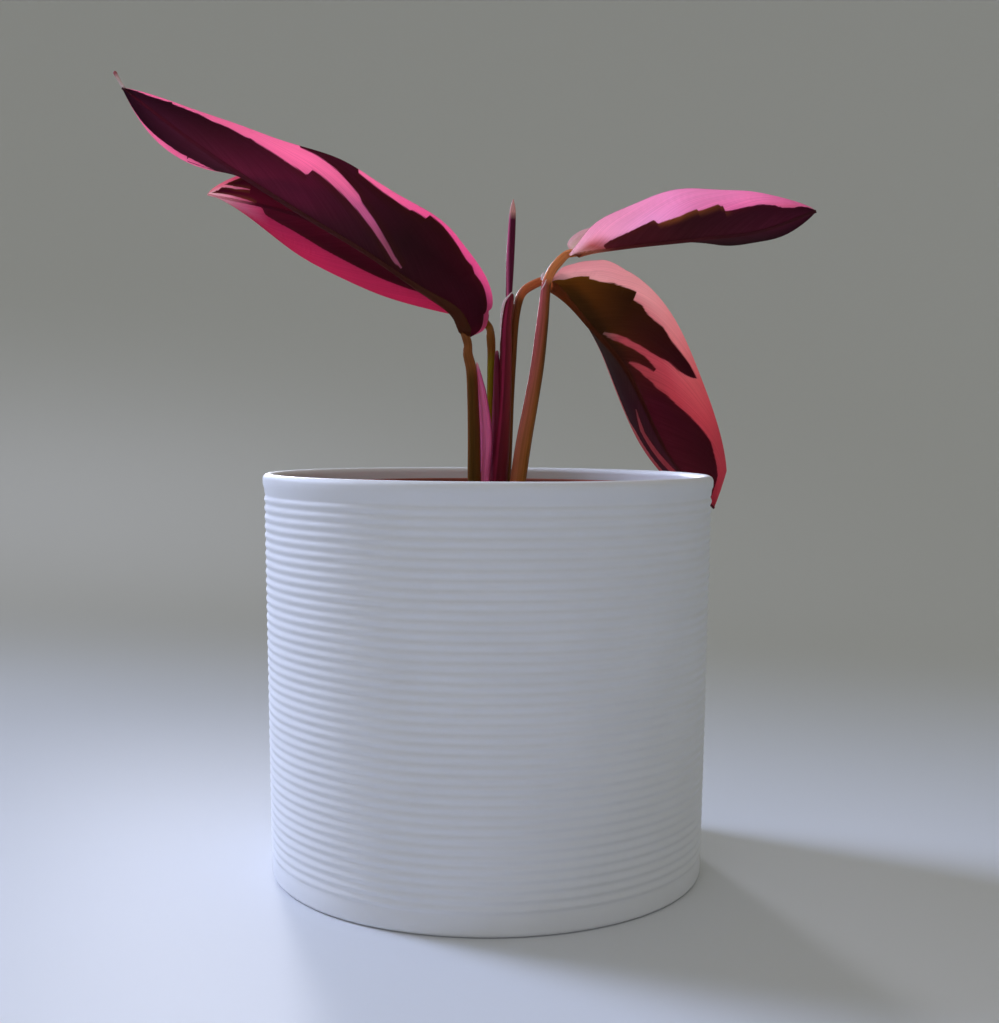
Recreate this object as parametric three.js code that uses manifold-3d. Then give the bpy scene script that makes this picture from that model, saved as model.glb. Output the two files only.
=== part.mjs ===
// Potted stromanthe 'Triostar': a young prayer plant in a thin plastic nursery pot, which stands in a
// ribbed ceramic cover pot. Millimetres, +Z up. The origin is on the pot's axis, at the surface that it
// stands on. Seen along +Y, two leaves point left (-X) and two point right (+X).

import * as THREE from 'three';
import { mergeVertices } from 'three/addons/utils/BufferGeometryUtils.js';
import Module from 'manifold-3d';

const wasm = await Module();
wasm.setup();

// ---------------------------------------------------------------- driving dimensions

const GAP = 0.3;                     // clearance kept between pieces that touch
const SAME_PLACE = 1e-4;             // corners closer than this are one

const COVER = {
  height: 124, radius: 70, wall: 3.6, floor: 6, facets: 32,
  topRadius: 69.7, bottomRadius: 67.6,          // of the ribbed body, over the crests
  ribs: 40, ribPitch: 2.78, firstRib: 7.8,      // the first crest lies this far under the rim
  ribDepth: 0.45,
};

const NURSERY = {
  rimHeight: 120.4, radius: 60, wall: 1.4, floor: 2, facets: 32,
  lip: 9, bodyTop: 56.4, bodyBottom: 43.5,
  holes: 6, holeRadius: 4.5, holeCircle: 30,
};

const SOIL = {
  top: 107.5, rings: 7, facets: 32, bump: 1.3,
  stemDepth: 22,                     // how far the stems reach into it
};

const BLADE = {
  thickness: 0.6, rows: 22,
  ribBase: 0.55, ribTip: 0.2,        // radii of the midrib past its neck
  stations: [0, 0.35, 0.7, 1],       // shares of the length at which roll and folds are given
};

// A leaf blade is set out along its midrib, from the base to the tip. Roll turns the blade about the
// midrib, the folds raise its right and left half from flat into a V, and the curls bend each half on.
// The lobes are how far the two halves reach back past the stalk. The midrib narrows from the stalk's
// radius over the neck, a share of the length.
// Angles are in degrees; right and left are as seen along the leaf from above.
const BLADES = {
  leaf_left_front: {
    midrib: [[-7, -9.3, 165.6], [-7.8, -10.2, 169.1], [-11.1, -12.5, 174.2], [-21.3, -19, 180.1],
      [-36.9, -30, 189.5], [-55.9, -41, 199.9], [-77.1, -51.5, 212.7], [-97.7, -60, 227.7]],
    halfWidth: 20, shape: [0.4, 0.87], roll: [-39, -15, -47, -82],
    foldLeft: [58, 38, 33, -10], foldRight: [64, 70, 54, -13], curlLeft: 11, curlRight: 13, lobes: [0, 0],
    wave: 0.9, waves: 3.5, phase: 0.1, ribRadius: 1.3, neck: 0.15, color: 0x74405c,
  },
  leaf_left_back: {
    midrib: [[-1, 9.5, 171.7], [-3.7, 10.5, 176.1], [-11.4, 13, 181.6], [-30.6, 17, 192.4],
      [-61.9, 21, 206.8], [-92.3, 24, 214.2]],
    halfWidth: 17.6, shape: [0.68, 0.7], roll: [-80, -76, -64, -29],
    foldLeft: [72, 61, 41, 13], foldRight: [38, 22, 10, 20], curlLeft: 14, curlRight: 16, lobes: [0, 0],
    wave: 1.2, waves: 2.2, phase: 0.16, ribRadius: 1.2, neck: 0.1, color: 0x8f3c62,
  },
  leaf_right_upper: {
    midrib: [[25.6, -7.2, 191.9], [28.4, -8.6, 192.5], [36.1, -13, 192.7], [47.1, -20, 193.1],
      [61.5, -28, 193.6], [77.1, -36, 194.7], [91.7, -42, 199.5]],
    halfWidth: 19, shape: [0.52, 0.8], roll: [-27, 18, 36, 61],
    foldLeft: [27, 28, 31, 44], foldRight: [3, 9.5, 16.5, 35], curlLeft: 4, curlRight: 1, lobes: [13, 2],
    wave: 0.6, waves: 3, phase: 0.7, ribRadius: 1.2, neck: 0.08, color: 0xd98fb4,
  },
  leaf_right_drooping: {
    midrib: [[18.8, 5.5, 183.7], [21.3, 7, 182.4], [25, 11, 179.4], [32.2, 20, 172.6],
      [46.6, 33, 157.6], [62.8, 45, 128.8], [79.4, 49, 110.6]],
    halfWidth: 27.5, shape: [0.5, 0.54], roll: [21, 35, 37, 31],
    foldLeft: [62, 57, 49, 31], foldRight: [40, 45, 38, 18], curlLeft: 15, curlRight: 12, lobes: [0, 0],
    wave: 0.7, waves: 2.5, phase: 0.2, ribRadius: 1.3, neck: 0.08, color: 0xa34a5c,
  },
};

// The thread at the end of the left front leaf, which the other leaves have lost.
const DRIP_TIP = {
  blade: 'leaf_left_front',
  path: [[-97, -59.8, 227.2], [-98.4, -60.3, 229.6], [-99.7, -60.5, 232.2]], radii: [0.5, 0.45, 0.5],
};

// Stalks and sheaths: points on the axis, from where each leaves the soil, and the radius at each point.
const STEMS = {
  petiole_left_front: {
    path: [[-4, -8, 104], [-4.4, -8, 121.8], [-4.5, -8, 134.5], [-4.9, -8.2, 146.8], [-5.4, -8.6, 155.6],
      [-6.5, -8.9, 160.6]],
    radii: [2.1, 2.05, 1.95, 1.75, 1.65, 1.5], blade: 'leaf_left_front',
  },
  sheath_left_front: {
    path: [[-2, -5, 104], [-1.4, -4, 121.1], [-0.8, -4, 134.5], [-1.8, -4.6, 146.9], [-2.7, -5.5, 152.1],
      [-3.8, -7, 158.5]],
    radii: [1.6, 1.8, 2, 1.4, 1.1, 0.3],
  },
  petiole_left_back: {
    path: [[1.2, 2, 104], [0.8, 1.5, 120.9], [0.9, 1.5, 134.4], [0.6, 1.8, 147], [0.6, 2.6, 156.5],
      [0.7, 4.2, 162.4], [0.5, 6.2, 166.6]],
    radii: [1.6, 1.5, 1.4, 1.2, 1.2, 1.3, 1.4], blade: 'leaf_left_back',
  },
  sheath_left_back: {
    path: [[2.6, 0, 104], [2.6, -0.5, 121], [2.8, -0.5, 137.6], [2.7, -0.5, 147], [2.5, 0, 156.3],
      [2.5, 0.5, 162.6]],
    radii: [2.4, 2.6, 2, 1.5, 1, 0.5],
  },
  petiole_right_drooping: {
    path: [[4, 0.6, 104], [4.6, 1, 120.9], [5.5, 1.5, 134.5], [6.4, 2, 147], [7.2, 2.5, 159.6], [8, 3, 170.6],
      [9, 3.2, 177.2], [10.4, 3.7, 180.8], [13, 4.1, 182.9]],
    radii: [2.4, 2.4, 2, 1.5, 1.35, 1.25, 1.3, 1.35, 1.4], blade: 'leaf_right_drooping',
  },
  sheath_right_drooping: {
    path: [[2.4, -0.4, 104], [3, -0.5, 121], [4, -0.5, 134.5], [4.9, -0.5, 147], [5.2, 0, 159.5],
      [5.3, 0, 168.8], [6.2, 0, 179.5]],
    radii: [3, 3, 2.67, 2.1, 1.95, 1.8, 1.55],
  },
  leaf_rolled: {
    path: [[2.4, -0.4, 104], [3, -0.5, 121], [4, -0.5, 134.5], [4.9, -0.5, 147], [5.2, 0, 159.5],
      [5.4, 0, 168.8], [6, 0, 178.1], [6.4, 0, 190.5], [7.1, 0, 204.4], [7.3, 0, 210]],
    radii: [1, 1, 1, 1, 1, 1, 0.95, 1.3, 1, 0.2],
  },
  petiole_right_upper: {
    path: [[7.4, -3.6, 104], [9.1, -4, 121.1], [11, -4.5, 134.5], [13.2, -4.8, 146.9], [15, -5.2, 158],
      [16.3, -5.8, 170], [17.1, -6, 178.5], [17.6, -6.2, 182.8], [19.2, -6.4, 186.6], [21.3, -6.5, 189.3]],
    radii: [2.6, 2.5, 2.4, 2.2, 2.05, 1.85, 1.55, 1.4, 1.4, 1.4], blade: 'leaf_right_upper',
  },
};

const COLORS = {
  cover_pot: 0xe9eaee, nursery_pot: 0x8a4438, soil: 0x3b2a20,
  petiole_left_front: 0x8a6a3a, petiole_left_back: 0x8c8a2c, petiole_right_drooping: 0x8a3a52,
  petiole_right_upper: 0xa8705f, leaf_rolled: 0x84305a,
};

// ---------------------------------------------------------------- helpers

const rad = THREE.MathUtils.degToRad;
const vec = (p) => new THREE.Vector3(p[0], p[1], p[2]);

function geometryOf(positions, indices) {
  const geometry = new THREE.BufferGeometry();
  geometry.setAttribute('position', new THREE.Float32BufferAttribute(positions, 3));
  geometry.setIndex(indices);
  return geometry;
}

// A closed mesh as a solid that can be joined and cut.
function solidOf(geometry) {
  const bare = geometry.clone();
  for (const name of ['normal', 'uv']) bare.deleteAttribute(name);
  const merged = mergeVertices(bare, SAME_PLACE);
  const index = Array.from(merged.index.array);
  const triVerts = [];
  for (let i = 0; i < index.length; i += 3) {
    const [a, b, c] = index.slice(i, i + 3);
    if (a !== b && b !== c && c !== a) triVerts.push(a, b, c);
  }
  return new wasm.Manifold(new wasm.Mesh({
    numProp: 3,
    vertProperties: new Float32Array(merged.attributes.position.array),
    triVerts: new Uint32Array(triVerts),
  }));
}

// The main body of a cut solid: scraps that the cuts leave loose are dropped.
function mainBody(solid) {
  return solid.decompose().reduce((a, b) => (b.volume() > a.volume() ? b : a));
}

function meshOf(name, solid, color, roughness) {
  const { vertProperties, triVerts } = mainBody(solid).getMesh();
  const geometry = geometryOf(Array.from(vertProperties), Array.from(triVerts));
  geometry.computeVertexNormals();
  const material = new THREE.MeshStandardMaterial({ color, roughness, metalness: 0, flatShading: true });
  const mesh = new THREE.Mesh(geometry, material);
  mesh.name = name;
  return mesh;
}

// A profile of [radius, height] points, from the axis round to the axis, turned about Z.
function turned(profile, facets) {
  const points = profile.map(([r, z]) => new THREE.Vector2(r, z));
  const geometry = new THREE.LatheGeometry(points, facets);
  geometry.rotateX(Math.PI / 2);
  return solidOf(geometry);
}

// A tapered round bar along points, with a radius at each point, thickened by grow all round.
function bar({ path, radii }, grow = 0, sides = 9, stepsPerSpan = 2) {
  const curve = new THREE.CatmullRomCurve3(path.map(vec), false, 'catmullrom', 0.5);
  const sizes = radii.map((radius) => new THREE.Vector3(radius, 0, 0));
  const widths = new THREE.CatmullRomCurve3(sizes, false, 'catmullrom', 0.5);
  const steps = (path.length - 1) * stepsPerSpan;
  const positions = [];
  const indices = [];
  const depth = new THREE.Vector3(0, 1, 0);
  for (let i = 0; i <= steps; i += 1) {
    const t = i / steps;
    const centre = curve.getPoint(t);
    const along = curve.getTangent(t);
    const across = new THREE.Vector3().crossVectors(along, depth).normalize();
    const back = new THREE.Vector3().crossVectors(across, along);
    const radius = widths.getPoint(t).x + grow;
    if (grow > 0 && (i === 0 || i === steps)) centre.addScaledVector(along, i === 0 ? -grow : grow);
    for (let j = 0; j < sides; j += 1) {
      const angle = (2 * Math.PI * j) / sides;
      const p = centre.clone().addScaledVector(across, radius * Math.cos(angle));
      p.addScaledVector(back, radius * Math.sin(angle));
      positions.push(p.x, p.y, p.z);
    }
  }
  for (let i = 0; i < steps; i += 1) {
    for (let j = 0; j < sides; j += 1) {
      const a = i * sides + j;
      const b = i * sides + ((j + 1) % sides);
      indices.push(a, a + sides, b, b, a + sides, b + sides);
    }
  }
  for (const [row, turn] of [[0, 1], [steps, -1]]) {
    const centre = curve.getPoint(row / steps);
    if (grow > 0) centre.addScaledVector(curve.getTangent(row / steps), row === 0 ? -grow : grow);
    const hub = positions.length / 3;
    positions.push(centre.x, centre.y, centre.z);
    for (let j = 0; j < sides; j += 1) {
      const a = row * sides + j;
      const b = row * sides + ((j + 1) % sides);
      indices.push(...(turn > 0 ? [hub, a, b] : [hub, b, a]));
    }
  }
  return solidOf(geometryOf(positions, indices));
}

// The cubic through four values given at the blade's stations.
function atStations(values, s) {
  const { stations } = BLADE;
  return values.reduce((sum, value, i) => {
    let weight = value;
    stations.forEach((station, j) => {
      if (j !== i) weight *= (s - station) / (stations[i] - station);
    });
    return sum + weight;
  }, 0);
}

function halfWidthAt(spec, s) {
  const [a, b] = spec.shape;
  const peak = a / (a + b);
  const share = (s ** a * (1 - s) ** b) / (peak ** a * (1 - peak) ** b);
  const least = THREE.MathUtils.lerp(spec.ribRadius + 0.35, 0.5, s);
  return Math.max(spec.halfWidth * share, least);
}

// The midrib's radius falls fast over the neck, and then evenly to the tip.
function ribRadiusAt(spec, s) {
  const { ribBase, ribTip } = BLADE;
  const even = THREE.MathUtils.lerp(ribBase, ribTip, s);
  return even + (spec.ribRadius - ribBase) * Math.exp(-((s / spec.neck) ** 2));
}

function midribOf(spec) {
  return new THREE.CatmullRomCurve3(spec.midrib.map(vec), false, 'catmullrom', 0.5);
}

// The point of the blade's middle surface at s along and v across (-1 left edge, 1 right edge), and the
// direction that points out of its upper face there.
function bladePoint(spec, curve, s, v) {
  const base = curve.getPointAt(s);
  const along = curve.getTangentAt(s);
  const heading = vec(spec.midrib.at(-1)).sub(vec(spec.midrib[0]));
  const level = new THREE.Vector3(heading.y, -heading.x, 0).normalize();
  const flat = level.clone().addScaledVector(along, -along.dot(level)).normalize();
  const upright = new THREE.Vector3().crossVectors(flat, along);
  const roll = rad(atStations(spec.roll, s));
  const right = flat.clone().multiplyScalar(Math.cos(roll)).addScaledVector(upright, Math.sin(roll));
  const up = new THREE.Vector3().crossVectors(right, along);

  const side = v < 0 ? -1 : 1;
  const fold = rad(atStations(v < 0 ? spec.foldLeft : spec.foldRight, s));
  const curl = rad(v < 0 ? spec.curlLeft : spec.curlRight);
  const across = Math.abs(v);
  const slope = fold + curl * across;
  const width = halfWidthAt(spec, s);
  const out = (width * (Math.sin(slope) - Math.sin(fold))) / curl;
  const rise = (width * (Math.cos(fold) - Math.cos(slope))) / curl;
  const ripple = spec.wave * v * v * Math.sin(Math.PI * s)
    * Math.sin(2 * Math.PI * (spec.waves * s + spec.phase + (v < 0 ? 0.3 : 0)));

  const lobe = spec.lobes[v < 0 ? 0 : 1];
  const back = lobe * across * (width / spec.halfWidth) * (1 - s) ** 8;

  const point = base.clone().addScaledVector(right, side * out).addScaledVector(up, rise + ripple)
    .addScaledVector(along, -back);
  const normal = v === 0
    ? up.clone()
    : up.clone().multiplyScalar(Math.cos(slope)).addScaledVector(right, -side * Math.sin(slope));
  return { point, normal, fold };
}

// A blade is one skin folded along its midrib, with the midrib standing out under it. Upper and lower
// faces are split into triangles alike, so that the waves never make them cross.
function blade(spec) {
  const curve = midribOf(spec);
  const { rows, thickness } = BLADE;
  const grid = { upper: [], lower: [] };
  const positions = [];
  const add = (p) => positions.push(p.x, p.y, p.z) / 3 - 1;
  for (let i = 0; i <= rows; i += 1) {
    const s = (1 - Math.cos((Math.PI * i) / rows)) / 2;
    const width = halfWidthAt(spec, s);
    const rib = ribRadiusAt(spec, s);
    const ribEdge = Math.min(rib / width, 0.3);
    const columns = [-1, -0.75, -0.45, -ribEdge, 0, ribEdge, 0.45, 0.75, 1];
    for (const face of ['upper', 'lower']) grid[face].push([]);
    for (const v of columns) {
      const { point, normal, fold } = bladePoint(spec, curve, s, v);
      const half = thickness / 2 / (v === 0 ? Math.cos(fold) : 1);
      const below = v === 0 ? half + rib * 0.8 : half;
      grid.upper[i].push(add(point.clone().addScaledVector(normal, half)));
      grid.lower[i].push(add(point.clone().addScaledVector(normal, -below)));
    }
  }
  const last = grid.upper[0].length - 1;
  const indices = [];
  const quad = (a, b, c, d) => indices.push(a, b, c, a, c, d);
  for (let i = 0; i < rows; i += 1) {
    for (let j = 0; j < last; j += 1) {
      const { upper, lower } = grid;
      quad(upper[i][j], upper[i][j + 1], upper[i + 1][j + 1], upper[i + 1][j]);
      indices.push(lower[i][j], lower[i + 1][j + 1], lower[i][j + 1]);
      indices.push(lower[i][j], lower[i + 1][j], lower[i + 1][j + 1]);
    }
    const { upper, lower } = grid;
    quad(upper[i][0], upper[i + 1][0], lower[i + 1][0], lower[i][0]);
    quad(upper[i][last], lower[i][last], lower[i + 1][last], upper[i + 1][last]);
  }
  for (const [i, turn] of [[0, 1], [rows, -1]]) {
    const { upper, lower } = grid;
    for (let j = 0; j < last; j += 1) {
      const corners = [upper[i][j], lower[i][j], lower[i][j + 1], upper[i][j + 1]];
      quad(...(turn > 0 ? corners : corners.reverse()));
    }
  }
  return solidOf(geometryOf(positions, indices));
}

// A small, repeatable wobble for the soil's crumbs.
function crumb(x, y) {
  const wave = (fx, fy, shift) => Math.sin(fx * x + fy * y + shift);
  return (wave(0.31, 0.11, 0.4) + wave(-0.17, 0.37, 1.9) + wave(0.73, 0.52, 2.6) + wave(-0.61, 0.83, 4.1)) / 4;
}

// ---------------------------------------------------------------- pots and soil

function coverPot() {
  const { height, radius, wall, floor, facets, topRadius, bottomRadius } = COVER;
  const { ribs, ribPitch, firstRib, ribDepth } = COVER;
  const bodyAt = (z) => THREE.MathUtils.lerp(bottomRadius, topRadius, z / height);
  const profile = [[0, 0], [bottomRadius - 1.2, 0], [bottomRadius - 0.1, 1.1]];
  const lastRib = height - firstRib - (ribs - 1) * ribPitch;
  profile.push([bodyAt(lastRib - ribPitch), lastRib - ribPitch]);
  for (let i = ribs - 1; i >= 0; i -= 1) {
    const crest = height - firstRib - i * ribPitch;
    profile.push([bodyAt(crest) - ribDepth, crest - ribPitch / 2], [bodyAt(crest), crest]);
  }
  profile.push([bodyAt(height) - ribDepth, height - firstRib + ribPitch / 2]);
  const inner = radius - wall;
  profile.push(
    [topRadius, height - 4.4], [radius, height - 3], [radius, height - 1.6], [radius - 0.6, height - 0.45],
    [radius - 1.8, height],
    [inner + 0.5, height - 0.5], [inner, height - 1.8], [bottomRadius - wall, floor + 4],
    [bottomRadius - wall - 3.5, floor + 0.4], [bottomRadius - wall - 6, floor], [0, floor],
  );
  return turned(profile, facets);
}

const nurseryBase = COVER.floor + GAP;
const nurseryInnerAt = (z) => {
  const { rimHeight, lip, bodyTop, bodyBottom, wall } = NURSERY;
  const share = (z - nurseryBase) / (rimHeight - lip - nurseryBase);
  return THREE.MathUtils.lerp(bodyBottom, bodyTop, share) - wall;
};

function nurseryPot() {
  const { rimHeight, radius, floor, facets, lip, bodyTop, bodyBottom, wall } = NURSERY;
  const { holes, holeRadius, holeCircle } = NURSERY;
  const profile = [
    [0, nurseryBase], [bodyBottom - 1.5, nurseryBase], [bodyBottom, nurseryBase + 1.5],
    [bodyTop, rimHeight - lip - 0.4], [radius - 0.3, rimHeight - lip], [radius, rimHeight - 1],
    [radius - 0.6, rimHeight],
    [radius - wall, rimHeight - 0.3], [radius - wall - 0.3, rimHeight - lip + 1.6],
    [bodyTop - wall, rimHeight - lip - 1.6], [bodyBottom - wall, nurseryBase + floor + 0.8],
    [bodyBottom - wall - 1, nurseryBase + floor], [0, nurseryBase + floor],
  ];
  let pot = turned(profile, facets);
  for (let i = 0; i < holes; i += 1) {
    const angle = (2 * Math.PI * i) / holes;
    const cutter = new THREE.CylinderGeometry(holeRadius, holeRadius, 3 * floor, 16);
    cutter.rotateX(Math.PI / 2);
    cutter.translate(holeCircle * Math.cos(angle), holeCircle * Math.sin(angle), nurseryBase + floor / 2);
    pot = pot.subtract(solidOf(cutter));
  }
  return pot;
}

function soil() {
  const { top, rings, facets, bump } = SOIL;
  const base = nurseryBase + NURSERY.floor + GAP;
  const rim = nurseryInnerAt(top) - GAP - 0.1;
  const foot = nurseryInnerAt(base) - GAP - 1.4;
  const profile = [[0, base], [foot, base], [rim, top]];
  for (let i = rings - 1; i >= 0; i -= 1) profile.push([(rim * i) / rings, top]);
  const points = profile.map(([r, z]) => new THREE.Vector2(r, z));
  const geometry = new THREE.LatheGeometry(points, facets);
  geometry.rotateX(Math.PI / 2);
  const place = geometry.attributes.position;
  for (let i = 0; i < place.count; i += 1) {
    const [x, y, z] = [place.getX(i), place.getY(i), place.getZ(i)];
    const inside = Math.hypot(x, y) < rim - 1 && z > top - 1;
    if (inside) place.setZ(i, top + bump * crumb(x, y));
  }
  return solidOf(geometry);
}

// ---------------------------------------------------------------- the plant

// A stalk starts down in the soil and ends a gap short of its blade.
function stemPath(name) {
  const { path, radii, blade: bladeName } = STEMS[name];
  const [foot, next] = [vec(path[0]), vec(path[1])];
  const down = foot.clone().sub(next).setLength(SOIL.stemDepth).add(foot);
  const points = [down.toArray(), ...path];
  const widths = [radii[0], ...radii];
  if (bladeName) {
    const curve = midribOf(BLADES[bladeName]);
    for (const short of [2 + GAP, GAP + 0.1]) {
      points.push(curve.getPointAt(0).addScaledVector(curve.getTangentAt(0), -short).toArray());
      widths.push(BLADES[bladeName].ribRadius);
    }
  }
  return { path: points, radii: widths };
}

const stem = (name, grow = 0) => bar(stemPath(name), grow);

// Each stalk with its sheath is one piece. The sheath of the drooping leaf wraps the rolled new leaf, and
// the pieces that crowd against it are hollowed to its shape.
const column = ['petiole_right_drooping', 'sheath_right_drooping'];
const joined = (names, grow = 0) => names.map((name) => stem(name, grow)).reduce((a, b) => a.add(b));

const plant = {
  leaf_rolled: stem('leaf_rolled'),
  petiole_right_drooping: joined(column).subtract(stem('leaf_rolled', GAP)),
  petiole_left_back: joined(['petiole_left_back', 'sheath_left_back']).subtract(joined(column, GAP)),
  petiole_right_upper: stem('petiole_right_upper').subtract(joined(column, GAP)),
};
const leftBack = joined(['petiole_left_back', 'sheath_left_back'], GAP);
plant.petiole_left_front = joined(['petiole_left_front', 'sheath_left_front'])
  .subtract(leftBack)
  .subtract(joined(column, GAP));

const stemHoles = joined(Object.keys(STEMS), GAP);

// ---------------------------------------------------------------- the assembly

const part = new THREE.Group();
part.add(meshOf('cover_pot', coverPot(), COLORS.cover_pot, 0.45));
part.add(meshOf('nursery_pot', nurseryPot(), COLORS.nursery_pot, 0.5));
part.add(meshOf('soil', soil().subtract(stemHoles), COLORS.soil, 0.95));
for (const [name, solid] of Object.entries(plant)) part.add(meshOf(name, solid, COLORS[name], 0.5));
for (const [name, spec] of Object.entries(BLADES)) {
  const stalk = Object.keys(STEMS).find((stemName) => STEMS[stemName].blade === name);
  const skin = blade(spec).subtract(stem(stalk, GAP));
  part.add(meshOf(name, name === DRIP_TIP.blade ? skin.add(bar(DRIP_TIP, 0, 6, 2)) : skin, spec.color, 0.45));
}

export default part;
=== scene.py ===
# %% [markdown]
# # A potted stromanthe 'Triostar'
#
# This lesson dresses a imported model of a young prayer plant. The imported model has the true sizes of
# every piece, in metres, with +Z up and the origin in the middle of the pot's foot. Each plain solid
# is replaced by a finer mesh in the same place, and gets a material made of nodes alone.

# %% Import the model
import math
import random
from functools import partial

import bpy
from mathutils import Matrix, Vector


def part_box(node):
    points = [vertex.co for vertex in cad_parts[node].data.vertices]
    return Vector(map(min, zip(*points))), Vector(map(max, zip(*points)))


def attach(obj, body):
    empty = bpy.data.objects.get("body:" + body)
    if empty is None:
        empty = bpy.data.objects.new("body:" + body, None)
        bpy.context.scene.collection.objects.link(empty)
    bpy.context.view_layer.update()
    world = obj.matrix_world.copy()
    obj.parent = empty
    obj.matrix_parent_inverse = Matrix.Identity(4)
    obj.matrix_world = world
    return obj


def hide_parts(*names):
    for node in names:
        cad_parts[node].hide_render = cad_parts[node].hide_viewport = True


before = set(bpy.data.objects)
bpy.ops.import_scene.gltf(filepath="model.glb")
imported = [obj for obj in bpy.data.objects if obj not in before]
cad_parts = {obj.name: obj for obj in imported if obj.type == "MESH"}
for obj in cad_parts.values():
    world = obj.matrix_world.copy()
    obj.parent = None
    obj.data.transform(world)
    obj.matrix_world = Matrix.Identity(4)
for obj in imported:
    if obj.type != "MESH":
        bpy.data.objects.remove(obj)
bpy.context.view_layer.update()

MM = 0.001

# %% [markdown]
# ## The camera
#
# The camera stands level with the plant, 43 cm in front of the pot's axis and a little above the rim,
# and tips down by a few degrees. It could be turned by angles, but a matrix built from the direction
# that it looks in and a small roll leaves no doubt about the order of the turns.

# %% Camera
CAMERA_PLACE = Vector((0, -427.9, 137.8)) * MM
CAMERA_PITCH = 0.0603
CAMERA_YAW = 0.0083
CAMERA_ROLL = 0.0056
LENS = 47.88

forward = Vector((
    math.sin(CAMERA_YAW) * math.cos(CAMERA_PITCH),
    math.cos(CAMERA_YAW) * math.cos(CAMERA_PITCH),
    -math.sin(CAMERA_PITCH),
))
level = Vector((math.cos(CAMERA_YAW), -math.sin(CAMERA_YAW), 0))
upright = level.cross(forward)
right = level * math.cos(CAMERA_ROLL) + upright * math.sin(CAMERA_ROLL)
above = upright * math.cos(CAMERA_ROLL) - level * math.sin(CAMERA_ROLL)

bpy.ops.object.select_all(action="DESELECT")
bpy.ops.object.camera_add()
camera = bpy.context.object
camera.data.lens = LENS
turned = Matrix((right, above, -forward)).transposed().to_4x4()
camera.matrix_world = Matrix.Translation(CAMERA_PLACE) @ turned
bpy.context.scene.camera = camera
print("The camera looks along", [round(part, 3) for part in forward])

# %% [markdown]
# ## Four helpers
#
# `primitive` adds a starting shape with nothing else selected, because an operator acts on all that
# is selected. `colour` turns a hex colour into the linear values that shaders work with. `pairs` reads
# the tables of colours and curves further down. `add_node` adds one node to a material, with its
# settings, and fills its sockets: a number is stored there, and a node is linked by its first output.
# A pair names another output. `new_material` gives each material its own add_node, called node below.

# %% Helpers for shapes and nodes
def primitive(kind, name, **settings):
    """Adds a mesh primitive, alone selected and active."""
    bpy.ops.object.select_all(action="DESELECT")
    getattr(bpy.ops.mesh, f"primitive_{kind}_add")(**settings)
    piece = bpy.context.object
    piece.name = piece.data.name = name
    return piece


def colour(code):
    """The linear RGBA of an sRGB hex colour."""
    parts = [int(code[i:i + 2], 16) / 255 for i in (1, 3, 5)]
    return [p / 12.92 if p <= 0.04045 else ((p + 0.055) / 1.055) ** 2.4 for p in parts] + [1]


OUTSIDE = 1.4


def pairs(text):
    """The pairs of a text such as "0 #ffffff, .5 #808080" or "0 .7, 1 out". out stands for OUTSIDE."""
    found = []
    for pair in text.split(", "):
        place, value = pair.split(" ")
        if value == "out":
            value = OUTSIDE
        found.append((float(place), value if str(value).startswith("#") else float(value)))
    return found


def add_node(tree, kind, inputs=None, stops=None, points=None, **settings):
    """Adds a node. stops is the text of a colour ramp's pairs, and points a curve's (x, y) pairs."""
    node = tree.nodes.new("ShaderNode" + kind)
    for name, value in settings.items():
        setattr(node, name, value)
    for key, value in (inputs or {}).items():
        source, output = value if isinstance(value, tuple) else (value, 0)
        if isinstance(source, bpy.types.Node):
            tree.links.new(source.outputs[output], node.inputs[key])
        else:
            node.inputs[key].default_value = value
    if stops:
        stops = pairs(stops)
        elements = node.color_ramp.elements
        while len(elements) < len(stops):
            elements.new(1)
        for element, (place, code) in zip(elements, stops):
            element.position, element.color = place, colour(code)
    if points:
        node.mapping.clip_min_y, node.mapping.clip_max_y = -1, 2
        curve = node.mapping.curves[0]
        while len(curve.points) < len(points):
            curve.points.new(1, 1)
        for point, place in zip(curve.points, points):
            point.location, point.handle_type = place, "VECTOR"
        node.mapping.update()
    return node


def new_material(name):
    """An empty material, and add_node for its own tree of nodes."""
    material = bpy.data.materials.new(name)
    material.use_nodes = True
    material.node_tree.nodes.clear()
    return material, partial(add_node, material.node_tree)


TINT = dict(data_type="RGBA", blend_type="MULTIPLY")


# %% [markdown]
# A finished piece rides on the model's one body and stands for the plain solid that it replaces. Its
# faces must point outwards, so doubles are merged first and the normals are worked out afterwards.

# %% Finish a piece
MERGE = 0.002


def close_and_smooth(piece, angle=40):
    """Merges doubles, turns the faces outwards and shades them smooth up to an angle."""
    bpy.ops.object.select_all(action="DESELECT")
    piece.select_set(True)
    bpy.context.view_layer.objects.active = piece
    bpy.ops.object.mode_set(mode="EDIT")
    bpy.ops.mesh.select_all(action="SELECT")
    bpy.ops.mesh.remove_doubles(threshold=MERGE * MM)
    bpy.ops.mesh.normals_make_consistent(inside=False)
    bpy.ops.object.mode_set(mode="OBJECT")
    bpy.ops.object.shade_smooth_by_angle(angle=math.radians(angle))


def join(pieces, name):
    """Joins several objects into the first of them."""
    bpy.ops.object.select_all(action="DESELECT")
    for piece in pieces:
        piece.select_set(True)
    bpy.context.view_layer.objects.active = pieces[0]
    if len(pieces) > 1:
        bpy.ops.object.join()
    pieces[0].name = pieces[0].data.name = name
    return pieces[0]


def hand_over(piece, node):
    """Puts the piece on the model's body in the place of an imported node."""
    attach(piece, "root")
    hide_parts(node)
    piece.data.calc_loop_triangles()
    print(piece.name, "has", len(piece.data.loop_triangles), "triangles")


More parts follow.
